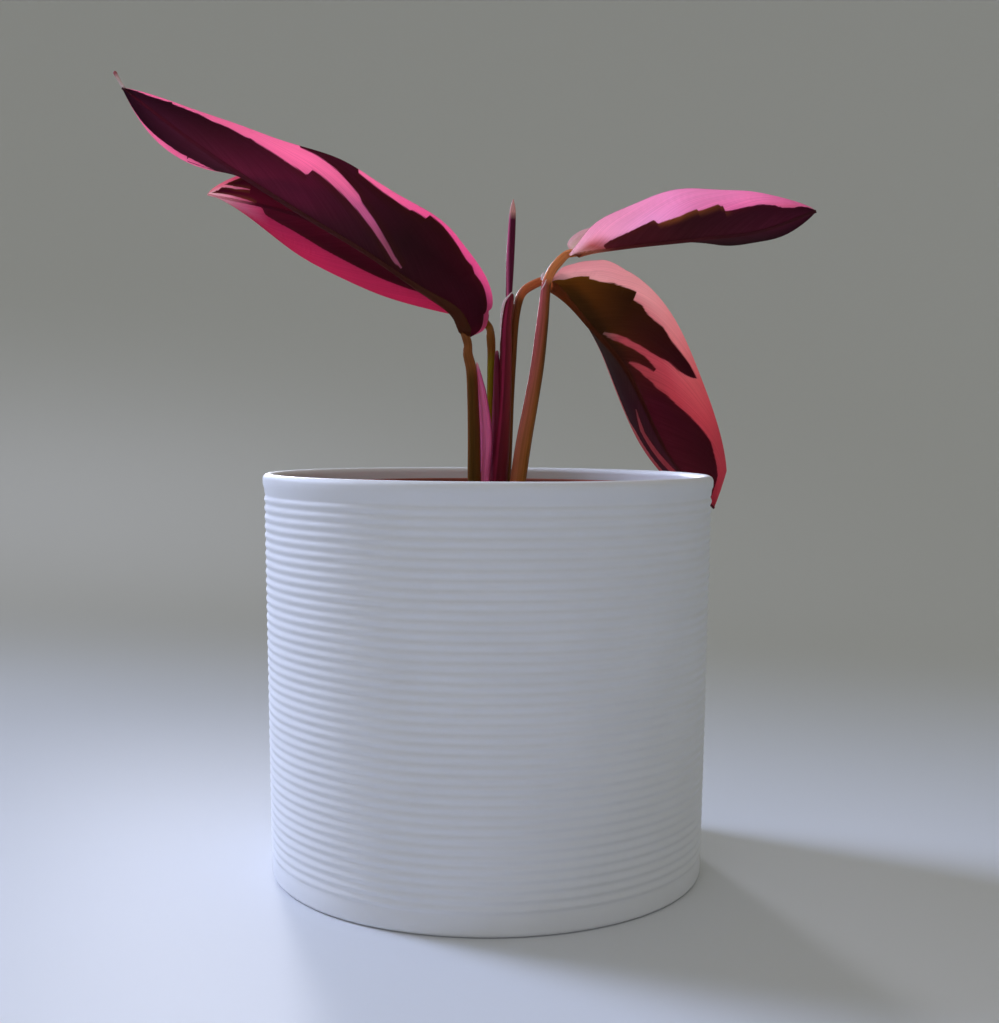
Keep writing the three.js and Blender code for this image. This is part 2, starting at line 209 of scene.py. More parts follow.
# %% [markdown]
# ## The cover pot
#
# The cover pot is slip-cast earthenware, with soft ribs that run round it and a rounded rim. It is the
# same all round, so it needs only its outline: half of a cut through the wall, drawn point by point as
# a chain of edges, which Spin turns about the axis. Modelling the ribs as 40 rings would take longer
# and fit less well. Round corners are arcs, so each takes one line.

# %% Draw an outline and spin it
def arc(centre, radius, start, end, steps):
    """Points on an arc in the outline's plane. Angles are in degrees from straight out."""
    angles = [math.radians(start + (end - start) * i / steps) for i in range(steps + 1)]
    return [(centre[0] + radius * math.cos(a), centre[1] + radius * math.sin(a)) for a in angles]


def spun(name, outline, steps):
    """A closed body from an outline of (radius, height) points in millimetres, turned about Z."""
    piece = primitive("plane", name, size=MM)
    bpy.ops.object.mode_set(mode="EDIT")
    bpy.ops.mesh.merge(type="CENTER")
    corners = [Vector((radius, 0, height)) * MM for radius, height in outline]
    bpy.ops.transform.translate(value=corners[0])
    for here, there in zip(corners, corners[1:]):
        bpy.ops.mesh.extrude_vertices_move(TRANSFORM_OT_translate={"value": there - here})
    bpy.ops.mesh.select_all(action="SELECT")
    bpy.ops.mesh.spin(steps=steps, angle=2 * math.pi, center=(0, 0, 0), axis=(0, 0, 1))
    bpy.ops.object.mode_set(mode="OBJECT")
    close_and_smooth(piece)
    return piece


# %% Cover pot
pot_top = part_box("cover_pot")[1].z / MM
RIM_RADIUS = 70
POT_WALL = 3.6
POT_FLOOR = 6
BODY_TOP = 69.7
BODY_BOTTOM = 67.6
RIBS = 40
RIB_PITCH = 2.78
FIRST_RIB = 7.8
RIB_DEPTH = 0.45
RIB_STEPS = 8
LIP = 1.8


def body_radius(height):
    """The pot widens slightly from the foot to the rim."""
    return BODY_BOTTOM + (BODY_TOP - BODY_BOTTOM) * height / pot_top


def ribbed_wall():
    """The outline of the ribs, from the lowest groove to the highest."""
    lowest = pot_top - FIRST_RIB - (RIBS - 0.5) * RIB_PITCH
    outline = []
    for i in range(RIBS * RIB_STEPS + 1):
        height = lowest + i * RIB_PITCH / RIB_STEPS
        groove = (1 + math.cos(2 * math.pi * i / RIB_STEPS)) / 2
        outline.append((body_radius(height) - RIB_DEPTH * groove, height))
    return outline


# From the middle of the foot outwards, up the ribs, over the rim and down the inside to the floor.
inner_top = RIM_RADIUS - POT_WALL
inner_foot = BODY_BOTTOM - POT_WALL
cover_outline = [(0, 0.8), (60.5, 0.8)]
cover_outline += arc((61.4, 0.9), 0.9, 180, 270, 4)
cover_outline += arc((BODY_BOTTOM - 1.6, 1.5), 1.5, 270, 360, 6)
cover_outline += [(body_radius(3.4) - 0.12, 3.4), (body_radius(5.4) - 0.2, 5.4)]
cover_outline += ribbed_wall()
cover_outline += [(body_radius(118) - 0.25, 118), (body_radius(119.6) - 0.1, 119.6)]
cover_outline += [(RIM_RADIUS - 0.06, 120.7)]
cover_outline += arc((RIM_RADIUS - LIP, pot_top - LIP), LIP, 0, 180, 14)
cover_outline += [(inner_top - 0.3, pot_top - 8), (inner_foot + 0.4, 40)]
cover_outline += arc((inner_foot - 6, POT_FLOOR + 6), 6, 0, -90, 8)
cover_outline += [(0, POT_FLOOR)]
cover_pot = spun("ribbed_cover_pot", cover_outline, 144)

# %% [markdown]
# The pot has a satin white glaze, sprayed on and fired. It gives broad, soft highlights. The glaze
# pulls a little thin on the crests and pools in the grooves, and its skin is faintly uneven, like the
# peel of an orange, with dips 2 to 3 mm apart. `mottled` makes such a material: clouds of colour on a
# skin with small dents. The plastic, the peat and the papery edges further down are made in the same
# way, each at its own scale.

# %% Satin glaze
def mottled(name, cloud, stops, gloss, bump=None, others=None):
    """A material coloured by a cloud of noise, given as its width in mm and its detail. gloss is one
    roughness, or two for the cloud to mix. bump holds a cloud, a strength and a depth in mm."""
    material, node = new_material(name)
    place = (node("TexCoord"), "Object")
    width, detail = cloud
    pattern = node("TexNoise", {"Vector": place, "Scale": 1 / (width * MM), "Detail": detail})
    inputs = {"Base Color": node("ValToRGB", {"Fac": pattern}, stops=stops), "Roughness": gloss}
    if isinstance(gloss, list):
        inputs["Roughness"] = node("MapRange", {"Value": pattern, "To Min": gloss[0], "To Max": gloss[1]})
    if bump:
        (width, detail), strength, depth = bump
        dents = node("TexNoise", {"Vector": place, "Scale": 1 / (width * MM), "Detail": detail})
        inputs["Normal"] = node("Bump", {"Height": dents, "Strength": strength, "Distance": depth * MM})
    skin = node("BsdfPrincipled", {**inputs, **(others or {})})
    node("OutputMaterial", {"Surface": skin})
    return material


cover_pot.data.materials.append(mottled(
    "satin_white_glaze", (18, 3.0), ".3 #e8e9ec, .7 #ebecef", gloss=[0.5, 0.56],
    bump=((2.4, 2.0), 0.12, 0.04), others={"IOR": 1.5, "Specular IOR Level": 0.35}))
hand_over(cover_pot, "cover_pot")

# %% [markdown]
# ## The nursery pot
#
# The plant still grows in the thin pot that it was sold in, moulded from polypropylene in a
# terracotta colour. Only its rim shows. It is spun in the same way, and its drain holes are cut by a
# Boolean modifier with one set of round cutters, as a drill would make them.

# %% Nursery pot
nursery_low, nursery_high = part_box("nursery_pot")
nursery_base, nursery_rim = nursery_low.z / MM, nursery_high.z / MM
NURSERY_RADIUS = 60
NURSERY_WALL = 1.4
NURSERY_LIP = 9
NURSERY_TOP = 56.4
NURSERY_BOTTOM = 43.5
NURSERY_FLOOR = 2
HOLES = 6
HOLE_RADIUS = 4.5
HOLE_CIRCLE = 30

# From the middle of the base outwards, up to the shoulder, over the rolled rim and down the inside.
shoulder = nursery_rim - NURSERY_LIP
nursery_outline = [(0, nursery_base)]
nursery_outline += arc((NURSERY_BOTTOM - 1.5, nursery_base + 1.5), 1.5, 270, 360, 5)
nursery_outline += [(NURSERY_TOP, shoulder - 0.5), (NURSERY_TOP + 0.8, shoulder - 0.1)]
nursery_outline += arc((NURSERY_RADIUS - 0.9, shoulder + 0.6), 0.6, 270, 360, 4)
nursery_outline += arc((NURSERY_RADIUS - 0.7, nursery_rim - 0.7), 0.7, 0, 180, 8)
nursery_outline += [(NURSERY_RADIUS - NURSERY_WALL - 0.2, shoulder + 1.8)]
nursery_outline += [(NURSERY_TOP - NURSERY_WALL, shoulder - 1.6)]
inner_corner = (NURSERY_BOTTOM - NURSERY_WALL - 1.5, nursery_base + NURSERY_FLOOR + 1.5)
nursery_outline += arc(inner_corner, 1.5, 0, -90, 4)
nursery_outline += [(0, nursery_base + NURSERY_FLOOR)]
nursery_pot = spun("nursery_pot_shell", nursery_outline, 120)

cutters = []
for i in range(HOLES):
    angle = 2 * math.pi * i / HOLES
    spot = Vector((HOLE_CIRCLE * math.cos(angle), HOLE_CIRCLE * math.sin(angle), nursery_base)) * MM
    size = dict(radius=HOLE_RADIUS * MM, depth=12 * MM)
    cutters.append(primitive("cylinder", "drain_hole", location=spot, **size))
drill = join(cutters, "drain_holes")
bpy.context.view_layer.objects.active = nursery_pot
cut = nursery_pot.modifiers.new("drain_holes", "BOOLEAN")
cut.object = drill
bpy.ops.object.modifier_apply(modifier=cut.name)
bpy.data.objects.remove(drill)
print("The nursery pot has", HOLES, "drain holes")

# %% [markdown]
# Moulded polypropylene is smooth and slightly glossy, with a faint flow pattern, and this one is a
# dull brick red. Dust and lime from the tap water dull it near the soil, so its roughness is patchy.

# %% Moulded plastic
nursery_pot.data.materials.append(mottled(
    "terracotta_polypropylene", (9, 4.0), ".3 #8a3f31, .7 #9c4c3b", gloss=[0.24, 0.42],
    bump=((0.7, 2.0), 0.2, 0.03), others={"IOR": 1.49}))
hand_over(nursery_pot, "nursery_pot")

# %% [markdown]
# ## The soil
#
# Potting mix is peat and bark in crumbs of 1 to 5 mm. A smooth disc with a bump map looks like a
# carpet, so the ground is a spun body whose top two Displace modifiers roughen, one for each pair in
# LUMPS (a width and a height in mm), and some hundreds of loose crumbs lie on it. One crumb is
# modelled, and its copies are turned, stretched and joined.

# %% Soil body
soil_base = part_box("soil")[0].z / MM
SOIL_TOP = 107.5
SOIL_RADIUS = 54.1
SOIL_FOOT = 39.6
SOIL_BEVEL = 0.8
SOIL_RINGS = 60
CALM_EDGE = 3
LUMPS = ((9, 1.6), (2.2, 1.1))
soil_outline = [(0, soil_base), (SOIL_FOOT, soil_base), (SOIL_RADIUS, SOIL_TOP - SOIL_BEVEL)]
soil_outline += [(SOIL_RADIUS * i / SOIL_RINGS, SOIL_TOP) for i in range(SOIL_RINGS - 1, -1, -1)]
soil = spun("potting_mix", soil_outline, 150)

top_group = soil.vertex_groups.new(name="top")
for vertex in soil.data.vertices:
    reach = math.hypot(vertex.co.x, vertex.co.y) / MM
    if vertex.co.z > (SOIL_TOP - 0.1) * MM:
        top_group.add([vertex.index], min(1, (SOIL_RADIUS - reach) / CALM_EDGE), "REPLACE")
for size, height in LUMPS:
    lumps = bpy.data.textures.new("soil_lumps", "CLOUDS")
    lumps.noise_scale = size * MM
    rough = soil.modifiers.new("lumps", "DISPLACE")
    rough.texture, rough.vertex_group, rough.direction = lumps, "top", "Z"
    rough.strength, rough.mid_level = height * MM, 0.55
    bpy.ops.object.modifier_apply(modifier=rough.name)

# %% Loose crumbs
CRUMBS = 520
draw = random.Random(7)
crumb = primitive("ico_sphere", "crumb", subdivisions=1, radius=MM)
crumbs = []
for i in range(CRUMBS):
    distance = (SOIL_RADIUS - 2) * math.sqrt(draw.random())
    angle = draw.uniform(0, 2 * math.pi)
    size = 0.5 + 1.5 * draw.random() ** 2
    spot = Vector((distance * math.cos(angle), distance * math.sin(angle), SOIL_TOP + 0.25)) * MM
    turn = Matrix.Rotation(draw.uniform(0, 6.3), 4, "Z") @ Matrix.Rotation(draw.uniform(0, 6.3), 4, "X")
    stretch = Matrix.Diagonal((size * draw.uniform(0.8, 1.7), size, size * draw.uniform(0.5, 0.9), 1))
    copy = bpy.data.objects.new("crumb", crumb.data.copy())
    copy.data.transform(Matrix.Translation(spot) @ turn @ stretch)
    bpy.context.collection.objects.link(copy)
    crumbs.append(copy)
bpy.data.objects.remove(crumb)
soil = join([soil, *crumbs], "potting_mix")
print(CRUMBS, "crumbs lie on the soil")

# %% [markdown]
# Moist peat is nearly black-brown and quite matt, with paler fibres and bits of bark.

# %% Moist peat
soil.data.materials.append(mottled(
    "moist_peat_mix", (1.6, 6.0), ".32 #17100b, .52 #2c1f16, .64 #46321f, .75 #7a5c3a", gloss=0.9,
    bump=((1.6, 6.0), 0.8, 0.4)))
hand_over(soil, "soil")

# %% [markdown]
# ## How the plant's pieces are moulded
#
# Stalks, sheaths and leaf blades are all thin skins that follow a line. Each starts as a grid, and a
# function says where every corner of the grid goes. The grid's own UV map goes with it: its first
# value runs across or around the piece and its second along it, so that streaks and veins can follow
# the growth in the materials.
#
# The lines are smooth curves through a few points. `Route` holds such a curve, as three.js and most
# drawing programs know it (Catmull-Rom), and gives the place and the direction at any share of its
# length.

# %% Smooth routes and moulded grids
class Route:
    """A smooth curve through points. Its ends are carried on straight for half a step."""

    SAMPLES = 24

    def __init__(self, points):
        self.points = [Vector(p) for p in points]
        first, last = self.points[0], self.points[-1]
        self.knots = [first * 2 - self.points[1], *self.points, last * 2 - self.points[-2]]
        self.lengths = [0]
        steps = self.SAMPLES * (len(points) - 1)
        here = self.at(0)[0]
        for i in range(1, steps + 1):
            there = self.at(i / steps)[0]
            self.lengths.append(self.lengths[-1] + (there - here).length)
            here = there
        self.length = self.lengths[-1]

    def at(self, share):
        """The place and the direction at a share of the way, with every span counted alike."""
        spans = len(self.points) - 1
        span = min(int(share * spans), spans - 1)
        t = share * spans - span
        a, b, c, d = self.knots[span:span + 4]
        bend = (a * 2 - b * 5 + c * 4 - d, b * 3 - a - c * 3 + d)
        place = b + ((c - a) * t + bend[0] * t ** 2 + bend[1] * t ** 3) / 2
        way = (c - a) + bend[0] * 2 * t + bend[1] * 3 * t ** 2
        return place, way.normalized()

    def ring(self, share):
        """The place, and the directions to the side and to the back, of a ring round the curve."""
        place, way = self.at(share)
        side = way.cross(Vector((0, 1, 0))).normalized()
        return place, side, side.cross(way)

    def along(self, share):
        """The place and the direction at a share of the length."""
        goal = share * self.length
        low, high = 0, len(self.lengths) - 1
        while high - low > 1:
            middle = (low + high) // 2
            low, high = (middle, high) if self.lengths[middle] <= goal else (low, middle)
        part = (goal - self.lengths[low]) / (self.lengths[high] - self.lengths[low])
        return self.at(min((low + part) / (len(self.lengths) - 1), 1))


def moulded_grid(name, across, along, shape, spread=lambda u: u, spacing=lambda v: v):
    """A grid with its corners where shape(u, v) says, in mm. spread and spacing crowd its lines."""
    piece = primitive("grid", name, x_subdivisions=across, y_subdivisions=along, size=1)
    columns = across + 1
    corners = range(len(piece.data.vertices))
    shares = [(spread(i % columns / across), spacing(i // columns / along)) for i in corners]
    for vertex, (u, v) in zip(piece.data.vertices, shares):
        vertex.co = shape(u, v) * MM
    uv = piece.data.uv_layers[0].data
    for loop in piece.data.loops:
        uv[loop.index].uv = shares[loop.vertex_index]
    return piece


def thicken(piece, thickness, angle, **settings):
    """Makes a sheet solid with Solidify, below its own faces, and shades it smooth up to an angle."""
    thick = piece.modifiers.new("skin", "SOLIDIFY")
    thick.thickness, thick.offset = thickness * MM, -1
    for name, value in settings.items():
        setattr(thick, name, value)
    bpy.ops.object.modifier_apply(modifier=thick.name)
    bpy.ops.object.shade_smooth_by_angle(angle=math.radians(angle))


def uv_parts(node):
    """A moulded grid's own UV map, split: X runs across or around the piece and Y along it."""
    uv = node("UVMap", uv_map="UVMap")
    return node("SeparateXYZ", {0: uv})


# %% [markdown]
# ## Stalks and sheaths
#
# A stalk is a round bar that narrows upwards, bends at its knee under the blade and runs on into the
# midrib. At its foot it is wrapped by a flatter sheath that ends in a point. Both are grids rolled up
# round their route: u goes once round, from the back over the right to the front and the left.
# The first and last rows close to a point, so that no end is open.

# %% Roll a tube
AROUND = 28
RIDGES_AROUND = 9


def tube(name, path, radii, steps, ridges=0.03):
    """A tube along a path, with a radius for each of its points. ridges gives it fine ribs."""
    route = Route(path)
    widths = Route([(radius, 0, 0) for radius in radii])

    def shape(u, v):
        share = min(max(v, 0), 1)
        place, side, back = route.ring(share)
        end = min(share, 1 - share) * steps
        radius = widths.at(share)[0].x * (1 if end >= 2 else math.sin(math.pi / 2 * end / 2) ** 0.5)
        radius *= 1 + ridges * math.sin(2 * math.pi * RIDGES_AROUND * u)
        angle = 2 * math.pi * (u + 0.25)
        return place + side * radius * math.cos(angle) + back * radius * math.sin(angle)

    piece = moulded_grid(name, AROUND, steps, shape)
    close_and_smooth(piece, 80)
    return piece


# %% Routes of the stalks, in millimetres from the soil up
STEM_DEPTH = 22
STALKS = {
    "petiole_left_front": ([
        (-4, -8, 104), (-4.4, -8, 121.8), (-4.5, -8, 134.5), (-4.9, -8.2, 146.8), (-5.4, -8.6, 155.6),
        (-6.5, -8.9, 160.6)], [2.1, 2.05, 1.95, 1.75, 1.65, 1.5], "leaf_left_front"),
    "petiole_left_back": ([
        (1.2, 2, 104), (0.8, 1.5, 120.9), (0.9, 1.5, 134.4), (0.6, 1.8, 147), (0.6, 2.6, 156.5),
        (0.7, 4.2, 162.4), (0.5, 6.2, 166.6)], [1.6, 1.5, 1.4, 1.2, 1.2, 1.3, 1.4], "leaf_left_back"),
    "petiole_right_drooping": ([
        (4, 0.6, 104), (4.6, 1, 120.9), (5.5, 1.5, 134.5), (6.4, 2, 147), (7.2, 2.5, 159.6),
        (8, 3, 170.6),
        (9, 3.2, 177.2), (10.4, 3.7, 180.8), (13, 4.1, 182.9)],
        [2.4, 2.4, 2, 1.5, 1.35, 1.25, 1.3, 1.35, 1.4], "leaf_right_drooping"),
    "petiole_right_upper": ([
        (7.4, -3.6, 104), (9.1, -4, 121.1), (11, -4.5, 134.5), (13.2, -4.8, 146.9), (15, -5.2, 158),
        (16.3, -5.8, 170), (17.1, -6, 178.5), (17.6, -6.2, 182.8), (19.2, -6.4, 186.6),
        (21.3, -6.5, 189.3)],
        [2.6, 2.5, 2.4, 2.2, 2.05, 1.85, 1.55, 1.4, 1.4, 1.4], "leaf_right_upper"),
}
SHEATHS = {
    "petiole_left_front": ([
        (-2, -5, 104), (-1.4, -4, 121.1), (-0.8, -4, 134.5), (-1.8, -4.6, 146.9), (-2.7, -5.5, 152.1),
        (-3.8, -7, 158.5)], [1.6, 1.8, 2, 1.4, 1.1, 0.3]),
    "petiole_left_back": ([
        (2.6, 0, 104), (2.6, -0.5, 121), (2.8, -0.5, 137.6), (2.7, -0.5, 147), (2.5, 0, 156.3),
        (2.5, 0.5, 162.6)], [2.4, 2.6, 2, 1.5, 1, 0.5]),
    "petiole_right_drooping": ([
        (2.4, -0.4, 104), (3, -0.5, 121), (4, -0.5, 134.5), (4.9, -0.5, 147), (5.2, 0, 159.5),
        (5.3, 0, 168.8), (5.8, 0, 174.5), (6.5, -0.2, 178), (7.1, -0.4, 180.2)],
        [3, 3, 2.67, 2.1, 1.95, 1.8, 1.6, 1.2, 0.5]),
}

# %% [markdown]
# ## The shape of a blade
#
# A blade is set out along its midrib. At each share of the length, from 0 at the base to 1 at the tip,
# it has a half width, a roll about the midrib, and a fold for each half that raises it from flat into a
# V. Each half then curls on towards its edge, and the edge waves a little. Roll and folds are given at
# four stations and follow a cubic between them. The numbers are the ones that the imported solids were
# made from, so the fine blade lies inside the plain one. Only the drooping leaf has one more, point:
# the share of its length over which its blunt tip is drawn in to a sharp end.

# %% Blades, in millimetres and degrees
STATIONS = (0, 0.35, 0.7, 1)
BLADES = {
    "leaf_left_front": dict(
        midrib=[(-7, -9.3, 165.6), (-7.8, -10.2, 169.1), (-11.1, -12.5, 174.2), (-21.3, -19, 180.1),
                (-36.9, -30, 189.5), (-55.9, -41, 199.9), (-77.1, -51.5, 212.7), (-97.7, -60, 227.7)],
        half_width=20, shape=(0.4, 0.87), roll=(-39, -15, -47, -82),
        fold=((58, 38, 33, -10), (64, 70, 54, -13)),
        curl=(11, 13), lobe=(0, 0), wave=0.9, waves=3.5, phase=0.1, rib=1.3, neck=0.15),
    "leaf_left_back": dict(
        midrib=[(-1, 9.5, 171.7), (-3.7, 10.5, 176.1), (-11.4, 13, 181.6), (-30.6, 17, 192.4),
                (-61.9, 21, 206.8), (-92.3, 24, 214.2)],
        half_width=17.6, shape=(0.68, 0.7), roll=(-80, -76, -64, -29),
        fold=((72, 61, 41, 13), (38, 22, 10, 20)),
        curl=(14, 16), lobe=(0, 0), wave=1.2, waves=2.2, phase=0.16, rib=1.2, neck=0.1),
    "leaf_right_upper": dict(
        midrib=[(25.6, -7.2, 191.9), (28.4, -8.6, 192.5), (36.1, -13, 192.7), (47.1, -20, 193.1),
                (61.5, -28, 193.6), (77.1, -36, 194.7), (91.7, -42, 199.5)],
        half_width=19, shape=(0.52, 0.8), roll=(-27, 18, 36, 61),
        fold=((27, 28, 31, 44), (3, 9.5, 16.5, 35)),
        curl=(4, 1), lobe=(13, 2), wave=0.6, waves=3, phase=0.7, rib=1.2, neck=0.08),
    "leaf_right_drooping": dict(
        midrib=[(18.8, 5.5, 183.7), (21.3, 7, 182.4), (25, 11, 179.4), (32.2, 20, 172.6),
                (46.6, 33, 157.6), (62.8, 45, 128.8), (79.4, 49, 110.6)],
        half_width=27.5, shape=(0.5, 0.54), roll=(21, 35, 37, 31),
        fold=((62, 57, 49, 31), (40, 45, 38, 18)),
        curl=(15, 12), lobe=(0, 0), wave=0.7, waves=2.5, phase=0.2, rib=1.3, neck=0.08, point=0.06),
}


def at_stations(values, s):
    """The cubic through four values given at the stations."""
    total = 0
    for i, value in enumerate(values):
        for j, station in enumerate(STATIONS):
            if j != i:
                value *= (s - station) / (STATIONS[i] - station)
        total += value
    return total


SHARP = 0.001
NARROWEST = 0.25


def half_width(leaf, s):
    """Half the blade's width, measured along its skin."""
    a, b = leaf["shape"]
    peak = a / (a + b)
    share = (s ** a * (1 - s) ** b) / (peak ** a * (1 - peak) ** b)
    share *= min(1, (1 - s) / leaf.get("point", SHARP)) ** 0.5
    return max(leaf["half_width"] * share, NARROWEST)


RIB_BASE = 0.55
RIB_TIP = 0.2


def rib_radius(leaf, s):
    """The midrib narrows fast over its neck, from the stalk's size, and then evenly to a hair."""
    even = RIB_BASE + (RIB_TIP - RIB_BASE) * s
    return even + (leaf["rib"] - RIB_BASE) * math.exp(-((s / leaf["neck"]) ** 2))


# %% [markdown]
# The side veins leave the midrib at a slant and sweep forwards along the edge. `sweep` says how far
# forwards, as a share of the length, a vein has come where it is `across` of the way to the edge. The
# pattern of the leaf and the fine ribbing of its skin both follow it. The upper skin lies a little
# above the folded surface, and sinks into a shallow groove over the midrib.

# %% Veins and the blade's skin
SWEEP = (0.28, 0.22)
VEIN_PITCH = 1.9
VEIN_RELIEF = 0.05
FULL_RELIEF = 6
SKIN_LIFT = 0.15
LIFT_START = 0.5
GROOVE = 0.35
LEFT_BEAT = 0.3
LOBE_POWER = 8


def sweep(across):
    """How far forwards a vein has come, as a share of the blade's length."""
    return SWEEP[0] * across + SWEEP[1] * across ** 4


def blade_point(leaf, route, s, v):
    """The skin's place at s along and v across, from -1 at the left edge to 1 at the right one."""
    place, along = route.along(s)
    heading = route.points[-1] - route.points[0]
    flat = Vector((heading.y, -heading.x, 0)).normalized()
    flat = (flat - along * along.dot(flat)).normalized()
    raised = flat.cross(along)
    roll = math.radians(at_stations(leaf["roll"], s))
    right = flat * math.cos(roll) + raised * math.sin(roll)
    up = right.cross(along)

    half = 0 if v < 0 else 1
    side = -1 if v < 0 else 1
    across = abs(v)
    fold = math.radians(at_stations(leaf["fold"][half], s))
    curl = math.radians(leaf["curl"][half])
    slope = fold + curl * across
    width = half_width(leaf, s)
    out = width * (math.sin(slope) - math.sin(fold)) / curl
    rise = width * (math.cos(fold) - math.cos(slope)) / curl
    beat = leaf["waves"] * s + leaf["phase"] + (LEFT_BEAT if v < 0 else 0)
    rise += leaf["wave"] * v * v * math.sin(math.pi * s) * math.sin(2 * math.pi * beat)
    back = leaf["lobe"][half] * across * (width / leaf["half_width"]) * (1 - s) ** LOBE_POWER

    vein = math.sin(2 * math.pi * (s - sweep(across)) * route.length / VEIN_PITCH)
    relief = VEIN_RELIEF * vein * math.sin(math.pi * across) ** 0.5 * min(1, width / FULL_RELIEF)
    rib = rib_radius(leaf, s)
    groove = GROOVE * rib * math.exp(-((across * width / rib) ** 2))
    normal = up * math.cos(slope) - right * side * math.sin(slope)
    lift = (SKIN_LIFT + relief) * min(1, across * width / LIFT_START)
    return place + right * side * out + up * rise - along * back + normal * (lift - groove)


# %% Build a blade
BLADE_COLUMNS = 88
BLADE_ROWS = 380
SKIN = 0.34
THICKEST = 2.4
RIDGE = 1.1


def crowd_middle(u):
    """Crowds the grid's columns towards the midrib."""
    v = 2 * u - 1
    return (math.copysign(abs(v) ** 1.5, v) + 1) / 2


def crowd_ends(v):
    """Crowds the grid's rows towards the base and the tip."""
    return v - 0.75 * math.sin(2 * math.pi * v) / (2 * math.pi)


def blade(name, leaf, skins):
    """A blade that Solidify thickens downwards, most along its midrib, with its upper and lower skins."""
    route = Route(leaf["midrib"])
    piece = moulded_grid(
        name + "_blade", BLADE_COLUMNS, BLADE_ROWS,
        lambda u, v: blade_point(leaf, route, v, 2 * u - 1), crowd_middle, crowd_ends,
    )
    thickness = piece.vertex_groups.new(name="thickness")
    from_rib = []
    columns = BLADE_COLUMNS + 1
    for vertex in piece.data.vertices:
        across = abs(2 * crowd_middle(vertex.index % columns / BLADE_COLUMNS) - 1)
        s = crowd_ends(vertex.index // columns / BLADE_ROWS)
        rib = rib_radius(leaf, s)
        beside = across * half_width(leaf, s) / rib
        from_rib.append(beside)
        ridge = RIDGE * rib * math.sqrt(max(0, 1 - beside ** 2)) * min(1, s / 0.02)
        skin = SKIN * (1 - 0.5 * across ** 3) * (1 - 0.4 * s)
        thickness.add([vertex.index], (skin + ridge) / THICKEST, "REPLACE")
    piece.data.attributes.new("from_rib", "FLOAT", "POINT").data.foreach_set("value", from_rib)
    for material in skins:
        piece.data.materials.append(material)
    thicken(piece, THICKEST, 70, vertex_group="thickness", material_offset=1, material_offset_rim=1)
    piece.vertex_groups.clear()
    print(name, "is", round(route.length), "mm long")
    return piece


# %% [markdown]
# ## The pattern of a leaf
#
# In this plant some strips of tissue have no green in them. There the leaf shows cream and pink, from
# both sides, while the rest is green above and wine red below. The strips start as a point at the
# midrib and widen along the veins, and their borders have steps where one vein's strip ends.
#
# A painted image would fix the pattern at one sharpness. Here each half of a blade has a curve that says
# how far out the dark tissue reaches at each share of the length, and wedges of pale tissue cut into it,
# each between two more curves. A curve is a text of pairs for `pairs` to read: a share of the length,
# and how far out the curve lies there, as a share of the way to the edge. The corners of the curves are
# the steps. All of this is worked out from the blade's UV map: u gives the side and the share of the
# way to the edge, and v the share of the length.

